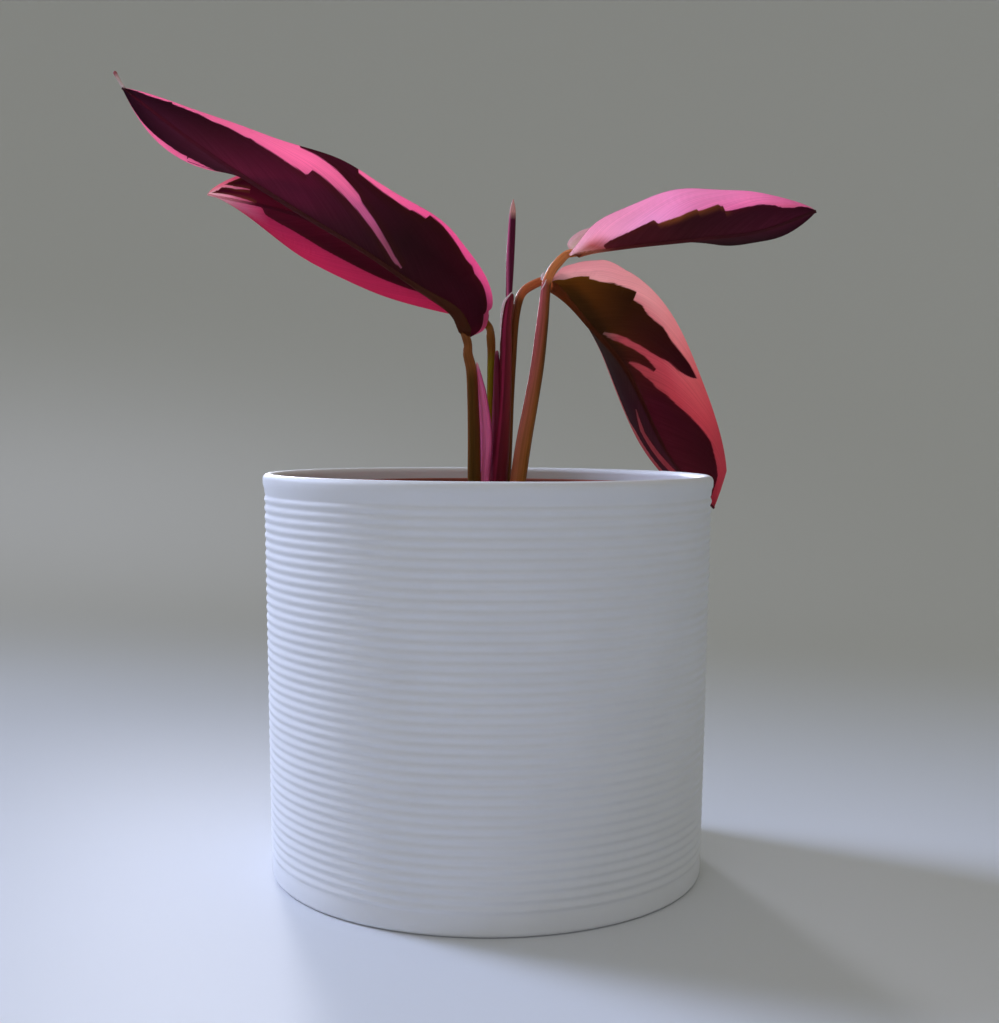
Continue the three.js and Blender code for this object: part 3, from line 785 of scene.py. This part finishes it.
# %% Pattern: how far out the dark tissue reaches, and the pale wedges in it
BELOW_ALL = -0.4
PATTERNS = {
    "leaf_left_front": (
        dict(dark="0 .7, .04 .79, .07 .84, .09 .81, .1 .87, .12 .855, .16 .905, .24 .95, .286 .966, "
                  ".289 .9, .33 .9, .332 .88, .4 .91, .47 .955, .5 out, .61 out, .615 .627, .66 .7, "
                  ".7 .756, .714 .788, .729 .776, .77 .83, .81 .83, .84 .89, .898 .87, .902 .96, "
                  ".912 .88, .95 .8, .97 .85, 1 .9",
             wedges=[
                 (".255 .085, .286 .11, .329 .215, .379 .35, .43 .478, .486 .576, .543 .666, .563 .678, "
                  ".567 .57, .6 .61, .63 .645",
                  ".255 .105, .293 .195, .336 .325, .386 .49, .43 .61, .443 .68, .471 .74, .514 .837, "
                  ".571 .927, .61 .97, .63 1.2")]),
        dict(dark="0 .8, .1 .86, .2 .9, .205 .82, .35 .88, .5 .95, .54 .97, .546 .85, .72 .92, "
                  ".755 .83, .78 .89, .803 .945, .808 .69, .83 .74, .85 .74, .88 .8, .905 .86, "
                  ".935 .94, 1 1",
             wedges=[
                 (".3 .1, .4 .3, .5 .52, .55 .62",
                  ".3 .12, .4 .42, .5 .75, .55 .9"),
                 (".74 .78, .755 .73, .78 .68, .806 .69",
                  ".74 .79, .755 .8, .78 .85, .806 .92")]),
    ),
    "leaf_left_back": (
        dict(dark="0 .85, .2 .9, .205 .8, .4 .9, .55 .93, .7 .88, .8 .85, .88 .9, .936 .82, .95 .78, "
                  ".965 .62, .98 .45, 1 .3",
             wedges=[
                 (".84 -.1, 1 -.1",
                  ".84 0, .863 .07, .9 .13, .928 .19, .976 .31, 1 .4"),
                 (".865 .4, .913 .455, .955 .68, .97 .5",
                  ".865 .41, .913 .56, .955 .84, .97 1.2")]),
        dict(dark="0 .8, .05 .78, .15 .66, .2 .56, .25 .5, .3 .54, .4 .55, .6 .5, .69 .44, .73 .41, "
                  ".765 .39, .8 .33, .815 .28, .819 .12, .83 .04, .86 0, 1 0",
             wedges=[]),
    ),
    "leaf_right_upper": (
        dict(dark="0 0, .12 0, .16 .4, .25 .7, .3 .8, .305 .7, .4 1, .45 out, 1 out",
             wedges=[]),
        dict(dark="0 0, .148 0, .155 .2, .17 .28, .2 .34, .3 .42, .35 .48, .405 .54, .412 .44, .5 .5, "
                  ".57 .605, .575 .56, .6 .59, .655 .69, .658 .64, .668 .655, .67 .54, .7 .555, "
                  ".75 .61, .82 .68, .87 .65, .876 .6, .884 .62, .887 .57, .93 .58, .95 .7, 1 .8",
             wedges=[]),
    ),
    "leaf_right_drooping": (
        dict(dark="0 .9, .2 .92, .4 .93, .68 .9, .7 .8, .75 .75, .82 .7, .9 .72, .94 .5, .975 .1, 1 0",
             wedges=[
                 (".6 .3, .69 .38, .75 .28, .8 .18, .85 .1",
                  ".6 .32, .69 .54, .75 .5, .8 .44, .85 .34")]),
        dict(dark="0 .33, .03 .38, .05 .5, .07 .58, .1 .62, .104 .57, .15 .61, .17 .65, .2 .72, "
                  ".25 .76, .305 .81, .308 .7, .345 .73, .37 .7, .4 .72, .43 .77, .47 .78, .53 .86, "
                  ".56 .9, .622 .93, .627 .43, .7 .58, .75 .66, .8 .73, .83 .76, .9 .72, .93 .66, "
                  ".955 .45, .975 .1, 1 0",
             wedges=[
                 (".28 .05, .33 .1, .4 .23, .45 .32, .5 .38, .504 .2, .55 .27, .6 .38, .645 .47",
                  ".28 .08, .33 .2, .4 .32, .45 .42, .48 .5, .51 .6, .55 .68, .58 .78, .6 .86, "
                  ".645 1.2"),
                 (".42 .07, .45 .12, .504 .2",
                  ".42 .09, .45 .2, .504 .34")]),
    ),
}

# %% Pattern nodes
BORDER = 0.012
RAGGED = 0.05
STEP = 0.002


def leaf_measures(node, length):
    """The share of the length, the share of the way to the edge, the side, and the vein in mm."""
    parts = uv_parts(node)
    along = (parts, "Y")
    side = node("Math", {0: (parts, "X"), 1: 0.5}, operation="GREATER_THAN")
    signed = node("Math", {0: (parts, "X"), 1: 2, 2: -1}, operation="MULTIPLY_ADD")
    across = node("Math", {0: signed}, operation="ABSOLUTE")
    fourth = node("Math", {0: across, 1: 4}, operation="POWER")
    late = node("Math", {0: fourth, 1: SWEEP[1]}, operation="MULTIPLY")
    swept = node("Math", {0: across, 1: SWEEP[0], 2: late}, operation="MULTIPLY_ADD")
    start = node("Math", {0: along, 1: swept}, operation="SUBTRACT")
    vein = node("Math", {0: start, 1: length}, operation="MULTIPLY")
    return along, across, side, vein


def streaks(node, vein, across, width, length, seed):
    """Noise drawn out along the veins: width mm across a streak and length, a share, along it."""
    fine = node("Math", {0: vein, 1: width}, operation="DIVIDE")
    drawn = node("Math", {0: across, 1: length}, operation="DIVIDE")
    spot = node("CombineXYZ", {"X": fine, "Y": drawn, "Z": seed})
    return node("TexNoise", {"Vector": spot, "Scale": 1.0, "Detail": 3.0})


def dark_share(node, half, along, across, ragged):
    """1 where the tissue is dark and 0 where it is pale, with a narrow border between."""
    reach = node("FloatCurve", {"Value": along}, points=pairs(half["dark"]))
    inside = node("Math", {0: reach, 1: across}, operation="SUBTRACT")
    inside = node("Math", {0: inside, 1: ragged}, operation="ADD")
    for low, high in half["wedges"]:
        low, high = pairs(low), pairs(high)
        start, end = low[0][0], low[-1][0]
        low = [(start - STEP, OUTSIDE), *low, (end + STEP, OUTSIDE)]
        high = [(start - STEP, BELOW_ALL), *high, (end + STEP, BELOW_ALL)]
        low_edge = node("FloatCurve", {"Value": along}, points=low)
        high_edge = node("FloatCurve", {"Value": along}, points=high)
        below = node("Math", {0: low_edge, 1: across}, operation="SUBTRACT")
        over = node("Math", {0: across, 1: high_edge}, operation="SUBTRACT")
        beside = node("Math", {0: below, 1: over}, operation="MAXIMUM")
        beside = node("Math", {0: beside, 1: ragged}, operation="ADD")
        inside = node("Math", {0: inside, 1: beside}, operation="MINIMUM")
    return inside


# %% [markdown]
# ## The finish of a leaf
#
# A living leaf is a thin skin with a satin wax on it, and light comes through it: from below, the pale
# strips glow when the light stands behind them. So its shader is a mix of Principled, for the light
# that it throws back, and Translucent, for the light that it lets through. Each side throws back its
# own colours, green or wine red. Light that crosses the leaf meets the same tissue either way, so both
# sides let through the underside's colours. The upper side throws back more of the light, and its gain
# makes up for that, so that the leaf as a whole lets the same light through.
#
# Near their border with the pale strips the dark parts turn olive. Across the blade they carry painted
# light: brighter near the midrib and darker towards the margin, for the light that comes through the
# leaf.
# The veins show as fine lines 0.9 mm apart, drawn a little wider than they are so that they show.

# %% Leaf material
FINE = dict(width=0.8, length=0.5, seed=3.0)
BROAD = dict(width=4.0, length=0.9, seed=8.0)
LINE_PITCH = 0.9
UPPER_FINISH = dict(through=0.7, gain=1.14, gloss=0.36, shine=0.5)
UNDER_FINISH = dict(through=0.8, gain=1.0, gloss=0.5, shine=0.2)


def tissue_colour(node, along, masks, colours):
    """Dark tissue with a fringe and painted light, pale tissue with an edge colour, and the rib on top.
    """
    ramps = {}
    for part, stops in colours.items():
        ramps[part] = node("ValToRGB", {"Fac": along}, stops=stops)
    olive, painted_glow_falloff, near_edge, cover, shade, on_rib = masks
    dark = node("Mix", {0: olive, 6: ramps["dark"], 7: ramps["fringe"]}, data_type="RGBA")
    # Painted light: the dark tissue is made brighter near the midrib and darker towards the margin.
    dark = node("Mix", {0: 1.0, 6: (dark, 2), 7: painted_glow_falloff}, **TINT)
    pale = node("Mix", {0: near_edge, 6: ramps["pale"], 7: ramps["edge"]}, data_type="RGBA")
    tissue = node("Mix", {0: cover, 6: (pale, 2), 7: (dark, 2)}, data_type="RGBA")
    toned = node("Mix", {0: 1.0, 6: (tissue, 2), 7: shade}, **TINT)
    return node("Mix", {0: on_rib, 6: (toned, 2), 7: ramps["rib"]}, data_type="RGBA")


def leaf_material(name, length, pattern, shown, passed, through, gain, gloss, shine):
    """A leaf's skin: it throws back the shown colours and lets the share through of the passed ones."""
    material, node = new_material(name)
    along, across, side, vein = leaf_measures(node, length)
    fine = streaks(node, vein, across, **FINE)
    broad = streaks(node, vein, across, **BROAD)
    ragged = node("Math", {0: fine, 1: RAGGED, 2: -RAGGED / 2}, operation="MULTIPLY_ADD")
    left = dark_share(node, pattern[0], along, across, ragged)
    far = dark_share(node, pattern[1], along, across, ragged)
    inside = node("Mix", {0: side, 2: left, 3: far}, data_type="FLOAT")
    cover = node("MapRange", {
        "Value": inside, "From Min": -BORDER, "From Max": BORDER,
    }, interpolation_type="SMOOTHSTEP")
    near_border = node("MapRange", {
        "Value": inside, "From Min": 0.16, "From Max": 0.01,
    }, interpolation_type="SMOOTHSTEP")
    olive = node("Math", {0: near_border, 1: broad}, operation="MULTIPLY")
    # Painted light through the leaf: 1.35 by the midrib, falling to 0.75 towards the margin.
    painted_glow_falloff = node("MapRange", {
        "Value": across, "From Min": 0.1, "From Max": 0.85, "To Min": 1.35, "To Max": 0.75,
    })
    near_edge = node("MapRange", {"Value": across, "From Min": 0.5, "From Max": 0.85})
    shade = node("MapRange", {
        "Value": fine, "From Min": 0.3, "From Max": 0.7, "To Min": 0.88, "To Max": 1.08,
    })
    from_rib = node("Attribute", attribute_name="from_rib")
    on_rib = node("MapRange", {"Value": (from_rib, "Fac"), "From Min": 1.15, "From Max": 0.75})
    masks = [olive, painted_glow_falloff, near_edge, cover, shade, on_rib]

    lines = node("Math", {0: vein, 1: 2 * math.pi / LINE_PITCH}, operation="MULTIPLY")
    lines = node("Math", {0: lines}, operation="SINE")
    height = node("Math", {0: lines, 1: 0.35, 2: fine}, operation="MULTIPLY_ADD")
    bump = node("Bump", {"Height": height, "Strength": 0.5, "Distance": 0.06 * MM})
    skin = node("BsdfPrincipled", {
        "Base Color": (tissue_colour(node, along, masks, shown), 2), "Roughness": gloss, "Normal": bump,
        "IOR": 1.42, "Specular IOR Level": shine,
    })
    through_colour = node("Mix", {
        0: 1.0, 6: (tissue_colour(node, along, masks, passed), 2), 7: [gain, gain, gain, 1],
    }, **TINT)
    glow = node("BsdfTranslucent", {"Color": (through_colour, 2), "Normal": bump})
    both = node("MixShader", {0: through, 1: skin, 2: glow})
    node("OutputMaterial", {"Surface": both})
    return material


# %% [markdown]
# Each colour is a ramp along the blade, from 0 at its base to 1 at its tip. The undersides differ from
# leaf to leaf with their age, and the youngest is the pinkest. The upper sides are alike.

# %% Colours of the four leaves
UNDERSIDES = {
    "leaf_left_front": dict(
        dark="0 #812d47, .3 #6e3c45, .55 #8b405c, .8 #723b4e, 1 #5f354a",
        fringe="0 #7c4440, .4 #744034, .7 #7c4052, 1 #703a50",
        pale="0 #fea8cc, .35 #fea8cf, .5 #f29eba, .8 #ee8cb0, 1 #ea7ca6",
        edge="0 #f088b2, .3 #f490b6, .45 #ffa6c4, 1 #ffa6c4",
        rib="0 #8a583c, .15 #90604a, .25 #845046, .6 #885054, .74 #864458, 1 #80384e"),
    "leaf_left_back": dict(
        dark="0 #6a2438, .5 #6a2238, 1 #742a44",
        fringe="0 #6a3a30, .8 #743440, .86 #86603c, 1 #86603c",
        pale="0 #cb567e, .8 #c85480, .9 #de9aae, 1 #ffe0e0",
        edge="0 #d75b86, .85 #d75b86, 1 #f4b0b8",
        rib="0 #8a5c38, .2 #7c4040, .6 #6a2a3c, .84 #762c46, .9 #c88c94, 1 #ecbcc0"),
    "leaf_right_upper": dict(
        dark="0 #924b54, .5 #623a40, 1 #6c3149",
        fringe="0 #8c4c48, .38 #7c4a3c, .45 #cc9454, .64 #cc9454, .7 #7c3c48, 1 #783448",
        pale="0 #f8e0dc, .13 #dc948f, .22 #ffc9db, .4 #fbc7e3, .7 #f29fc4, 1 #ef93ab",
        edge="0 #f8dcdc, .2 #f8c4d4, .5 #f8bcd8, 1 #f2a0c2",
        rib="0 #c08860, .1 #c89480, .2 #985a58, .7 #74404a"),
    "leaf_right_drooping": dict(
        dark="0 #8e652d, .3 #66442b, .6 #713044, 1 #753944",
        fringe="0 #8c6c28, .28 #745028, .5 #703438, 1 #783444",
        pale="0 #e8c0bc, .25 #eec4c0, .34 #d08088, .6 #d47880, .8 #d06c78, 1 #c86070",
        edge="0 #e8b8b8, .35 #ecbcb8, .5 #e8a8a6, .62 #dc8c8c, .75 #d87c82, 1 #c86c78",
        rib="0 #a86c40, .2 #8c5838, .6 #7c4440, 1 #78404c"),
}
UPPERS = dict(
    dark="0 #4c8c48, .5 #58984f, 1 #447f42", fringe="0 #9cc080, 1 #9cc080",
    pale="0 #fff6e0, .5 #ffeee0, 1 #ffe4e0", edge="0 #ffc8d4, 1 #ffc8d4",
    rib="0 #d8d8a0, .5 #c8d49c, 1 #d0ccb0")

# %% [markdown]
# ## Making the four leaves
#
# Each blade gets two materials before Solidify makes it thick. The grid's own faces stay above and keep
# the first one, the upper skin's. The faces that Solidify adds, below and round the margin, take the
# second one, the underside's. Beyond its tip the left front leaf still has the dry thread that a young
# leaf of this kind unrolls with.

# %% Leaves
THREAD = [(-97, -59.8, 227.2), (-98.4, -60.3, 229.6), (-99.7, -60.5, 232.0)]


def dry_thread():
    """The thread is dead tissue, so it is matt: straw coloured, with a redder end."""
    material, node = new_material("dry_thread")
    parts = uv_parts(node)
    straw = node("ValToRGB", {"Fac": (parts, "Y")}, stops="0 #b06a78, .2 #e8ccc8, "
                                                                    ".65 #e0b8b4, .85 #b45a60, "
                                                                    "1 #a84a50")
    skin = node("BsdfPrincipled", {"Base Color": straw, "Roughness": 0.6})
    node("OutputMaterial", {"Surface": skin})
    return material


for name, leaf in BLADES.items():
    below = UNDERSIDES[name]
    plan = (Route(leaf["midrib"]).length, PATTERNS[name])
    upper = leaf_material(name + "_green_upper_skin", *plan, UPPERS, below, **UPPER_FINISH)
    underside = leaf_material(name + "_wine_red_underside", *plan, below, below, **UNDER_FINISH)
    piece = blade(name, leaf, [upper, underside])
    if name == "leaf_left_front":
        thread = tube("thread", THREAD, [0.5, 0.42, 0.58], 14, ridges=0)
        thread.data.materials.append(dry_thread())
        piece = join([piece, thread], piece.name)
    hand_over(piece, name)

# %% [markdown]
# ## The skin of the stalks
#
# A stalk is smooth and a little shiny, with fine lines along it. Its colour changes around it, partly
# its own and partly painted light: the side towards the light is painted lighter and the shaded side
# darker. Along it, it is orange and slightly thicker at the knee. One ramp gives the colours around,
# painted light included, from the back over the right to the front and the left, and another those of
# the knee. Lines are 0.35 mm apart, drawn out along the stalk.

# %% Stalk material
def stalk_skin(name, around_with_painted_light, knee, knee_start, knee_full, foot):
    """A stalk's skin, with colours around it, another at its foot and, from knee_start up, its knee's.
    The colours around hold painted light: lighter on the lit side and darker on the shaded side.
    """
    material, node = new_material(name)
    parts = uv_parts(node)
    drawn = node("CombineXYZ", {"X": (parts, "X"), "Y": (parts, "Y"), "Z": 0.0})
    stretched = node("Mapping", {"Vector": drawn, "Scale": [30, 6, 1]})
    lines = node("TexNoise", {"Vector": stretched, "Scale": 1.0, "Detail": 4.0})
    wander = node("Math", {0: lines, 1: 0.12, 2: -0.06}, operation="MULTIPLY_ADD")
    turned = node("Math", {0: (parts, "X"), 1: wander}, operation="ADD")
    # The ring of colours carries painted light: lighter on the lit side, darker on the shaded one.
    ring = node("ValToRGB", {"Fac": turned}, stops=around_with_painted_light)
    at_foot = node("MapRange", {
        "Value": (parts, "Y"), "From Min": 0.45, "From Max": 0.15, "To Max": 0.6,
    })
    footed = node("Mix", {0: at_foot, 6: ring, 7: colour(foot)}, data_type="RGBA")
    at_knee = node("MapRange", {
        "Value": (parts, "Y"), "From Min": knee_start, "From Max": knee_full,
    }, interpolation_type="SMOOTHSTEP")
    mixed = node("Mix", {0: at_knee, 6: (footed, 2), 7: colour(knee)}, data_type="RGBA")
    shade = node("MapRange", {
        "Value": lines, "From Min": 0.3, "From Max": 0.7, "To Min": 0.8, "To Max": 1.15,
    })
    toned = node("Mix", {0: 1.0, 6: (mixed, 2), 7: shade}, **TINT)
    bump = node("Bump", {"Height": lines, "Strength": 0.4, "Distance": 0.08 * MM})
    skin = node("BsdfPrincipled", {
        "Base Color": (toned, 2), "Roughness": 0.45, "Normal": bump, "IOR": 1.42,
        "Specular IOR Level": 0.15, "Subsurface Weight": 0.08, "Subsurface Scale": 0.6 * MM,
    })
    node("OutputMaterial", {"Surface": skin})
    return material


# %% Colours of the stalks
# Each ramp around holds painted light as well as the stalk's own colour: lighter towards the light.
STALK_SKINS = {
    "petiole_left_front": dict(
        around_with_painted_light="0 #6a4220, .25 #84301a, .36 #6a3410, .48 #5c3a0c, .62 #64400c, .7 #8a4a18, .78 #9a5020, "
               "1 #6a4220",
        knee="#8a5228", knee_start=0.5, knee_full=0.6, foot="#4e3808"),
    "petiole_left_back": dict(
        around_with_painted_light="0 #6a6a10, .25 #8d5714, .4 #86780a, .6 #8a7c08, .75 #7b5110, 1 #6a6a10",
        knee="#8a5620", knee_start=0.5, knee_full=0.62, foot="#7a700c"),
    "petiole_right_drooping": dict(
        around_with_painted_light="0 #7a4420, .25 #6a4416, .5 #74401c, .75 #6e2c20, 1 #7a4420",
        knee="#c2683c", knee_start=0.58, knee_full=0.65, foot="#5e4414"),
    "petiole_right_upper": dict(
        around_with_painted_light="0 #7a4a28, .25 #544010, .34 #6e4018, .42 #98502a, .52 #b45c50, .62 #cc6468, "
               ".74 #d06a74, 1 #7a4a28",
        knee="#e48a50", knee_start=0.6, knee_full=0.65, foot="#b07c34"),
}
# The sheaths' ramps around hold painted light in the same way.
SHEATH_SKINS = {
    "petiole_left_front": dict(
        around_with_painted_light="0 #a0406a, .3 #c04c84, .42 #ff7cb8, .56 #ff86be, .66 #e8689c, .75 #b04a72, 1 #a0406a",
        knee="#f0b0b8", knee_start=0.92, knee_full=1.0, foot="#d86a9c"),
    "petiole_left_back": dict(
        around_with_painted_light="0 #5a2030, .4 #681830, .6 #701c34, .75 #803048, 1 #5a2030",
        knee="#a86074", knee_start=0.94, knee_full=1.0, foot="#6a1c30"),
    "petiole_right_drooping": dict(
        around_with_painted_light="0 #5a3020, .25 #744023, .38 #85313a, .5 #681428, .56 #a42850, .62 #681428, .75 #6c1824, "
               "1 #5a3020",
        knee="#741c2c", knee_start=0.88, knee_full=0.96, foot="#64141e"),
}

# %% [markdown]
# Each stalk starts down in the soil and ends inside the base of its blade's midrib, so that the two
# grow into each other with no joint to be seen. Where a sheath ends, and at the knee of the upper right
# leaf, a thin papery edge of dead skin is left over.

# %% Stalks
RUN_IN = 3.0
RUN_UP = (2.3, 0.4)


def rooted(path, radii):
    """Carries a route and its radii on down into the soil."""
    foot, following = Vector(path[0]), Vector(path[1])
    down = foot - (following - foot).normalized() * STEM_DEPTH
    return [down, *path], [radii[0], *radii]


def into_blade(path, radii, leaf):
    """Carries a stalk's route on into its blade, along the underside of the midrib."""
    route = Route(leaf["midrib"])
    place, way = route.along(0)
    share = RUN_IN / route.length
    inner = route.along(share)[0]
    sunk = (blade_point(leaf, route, share, 0) - inner).normalized() * 0.5 * leaf["rib"]
    points = [*path, *(place - way * gap for gap in RUN_UP), inner + sunk]
    return points, [*radii, leaf["rib"], leaf["rib"], leaf["rib"] * 0.8]


SKIN_EDGES = {
    "petiole_right_drooping": [
        ([(7.3, -0.9, 180.7), (6.1, -1.0, 179.4), (5, -0.7, 178), (4.35, -0.6, 176.2),
          (3.75, -0.7, 171.8), (3.45, -1, 164.6)], [0.1, 0.24, 0.36, 0.42, 0.34, 0.06])],
    "petiole_right_upper": [
        ([(17.5, -7.5, 183.9), (16.7, -7.95, 182), (15.7, -7.7, 180.4)], [0.08, 0.2, 0.06]),
        ([(16, -7.7, 183.4), (16.3, -7.75, 184.8), (16.7, -7.6, 186)], [0.3, 0.45, 0.08])],
}

# The papery edges are dead tissue: matt, pale pink and finely fibrous.
papery = mottled("papery_edge", (0.5, 2.0), ".3 #ffd4de, .7 #fff2f2", gloss=0.65)
for name, (path, radii, leaf_name) in STALKS.items():
    stalk = tube(name + "_stalk", *into_blade(*rooted(path, radii), BLADES[leaf_name]), 140)
    stalk.data.materials.append(stalk_skin(name + "_skin", **STALK_SKINS[name]))
    pieces = [stalk]
    if name in SHEATHS:
        sheath = tube(name + "_sheath", *rooted(*SHEATHS[name]), 90)
        sheath.data.materials.append(stalk_skin(name + "_sheath_skin", **SHEATH_SKINS[name]))
        pieces.append(sheath)
    for path, radii in SKIN_EDGES.get(name, []):
        edge = tube(name + "_edge", path, radii, 24, ridges=0)
        edge.data.materials.append(papery)
        pieces.append(edge)
    hand_over(join(pieces, name + "_stalk"), name)

# %% [markdown]
# ## The rolled leaf
#
# The next leaf comes up inside the column, still rolled up tight like a scroll. Its outer edge shows as
# a slanting line. It is a grid rolled round its route more than twice, each turn a little wider than
# the one inside it.

# %% Rolled leaf
ROLL_PATH = [
    (2.4, -0.4, 104), (3, -0.5, 121), (4, -0.5, 134.5), (4.9, -0.5, 147), (5.2, 0, 159.5),
    (5.4, 0, 168.8), (6, 0, 178.1), (6.4, 0, 190.5), (7.1, 0, 204.4), (7.3, 0, 209.2)]
ROLL_RADII = [1, 1, 1, 1, 1, 1, 1.05, 1.38, 1.08, 0.16]
ROLL_TURNS = 2.2
ROLL_SKIN = 0.12
ROLL_ROOT = (1.7, -0.4, 82.1)
INNER_LOSS = 0.25
roll_route = Route([ROLL_ROOT, *ROLL_PATH])
roll_widths = Route([(radius, 0, 0) for radius in [1, *ROLL_RADII]])


def scroll(u, v):
    """A corner of the rolled blade: u winds inwards from the outer edge, slanting with the height."""
    place, side, back = roll_route.ring(v)
    radius = roll_widths.at(v)[0].x * (1 - INNER_LOSS * u)
    angle = 2 * math.pi * (ROLL_TURNS * u + 0.5 - 0.5 * v)
    return place + side * radius * math.cos(angle) - back * radius * math.sin(angle)


rolled = moulded_grid("rolled_leaf", 90, 220, scroll)
thicken(rolled, ROLL_SKIN, 60)


def rolled_skin():
    """The rolled leaf's outside: wine red, pale pink along its edge and cream at its tip."""
    material, node = new_material("rolled_leaf_skin")
    parts = uv_parts(node)
    from_edge = node("ValToRGB", {"Fac": (parts, "X")}, stops="0 #f080a8, .035 #c85484, "
                                                                        ".065 #5c1634, 1 #4a0f26")
    at_tip = node("MapRange", {"Value": (parts, "Y"), "From Min": 0.885, "From Max": 0.91})
    tinted = node("Mix", {0: at_tip, 6: from_edge, 7: colour("#e8a49e")}, data_type="RGBA")
    skin = node("BsdfPrincipled", {
        "Base Color": (tinted, 2), "Roughness": 0.45, "IOR": 1.42, "Specular IOR Level": 0.15})
    node("OutputMaterial", {"Surface": skin})
    return material


rolled.data.materials.append(rolled_skin())
hand_over(rolled, "leaf_rolled")

# %% [markdown]
# ## Floor and light
#
# The plant stands on a plain pale floor that sweeps up into a wall all round, as in a photographer's
# studio, so no horizon shows from any side. A window's cool light comes from the left and a little from
# behind, and lights the pot's left side and the floor. A smaller second window stands behind, low, and
# shines through the leaves. A faint glow lights the wall on the left, and the room's soft light fills
# in the rest. Large lamps give soft edges to the shadows, and a narrow spread keeps each one's light
# where it is wanted.

# %% Floor
FLAT_FLOOR = 500
SWEEP_RADIUS = 1800
floor_outline = [(0, 0), (FLAT_FLOOR / 2, 0)]
floor_outline += arc((FLAT_FLOOR, SWEEP_RADIUS), SWEEP_RADIUS, -90, 0, 40)
floor = spun("floor_sweep", floor_outline, 96)
paint, node = new_material("pale_paint")
matt = node("BsdfPrincipled", {"Base Color": colour("#d8dade"), "Roughness": 0.6})
node("OutputMaterial", {"Surface": matt})
floor.data.materials.append(paint)


# %% Lamps
def lamp(name, place, aim, size, power, tint, spread):
    """A square soft lamp, turned from its place to a point. Its light keeps within the angle spread."""
    bpy.ops.object.light_add(type="AREA", location=place)
    made = bpy.context.object
    made.name = name
    made.data.size, made.data.energy, made.data.color = size, power, colour(tint)[:3]
    made.data.spread = math.radians(spread)
    made.rotation_euler = (Vector(aim) - Vector(place)).to_track_quat("-Z", "Y").to_euler()
    made.visible_camera = False


lamp("window", (-1.2, 0.5, 0.95), (-0.01, -0.19, 0.03), 0.7, 1.55, "#cad8ff", 25)
lamp("second_window", (-0.35, 1.2, 0.5), (-0.01, -0.02, 0.2), 0.3, 0.28, "#f0f2ff", 14)
lamp("wall_glow", (-0.8, 0.7, 1.1), (-0.36, 0.85, 0.05), 0.5, 0.26, "#eceeff", 50)
lamp("room", (-0.5, -1.2, 1.1), (0, 0, 0.1), 1.0, 1.1, "#e8e8ff", 120)

world = bpy.data.worlds.new("room_light")
bpy.context.scene.world = world
world.use_nodes = True
background = world.node_tree.nodes["Background"]
background.inputs["Color"].default_value = colour("#fffeee")
background.inputs["Strength"].default_value = 0.375
bpy.context.scene.view_settings.view_transform = "Standard"
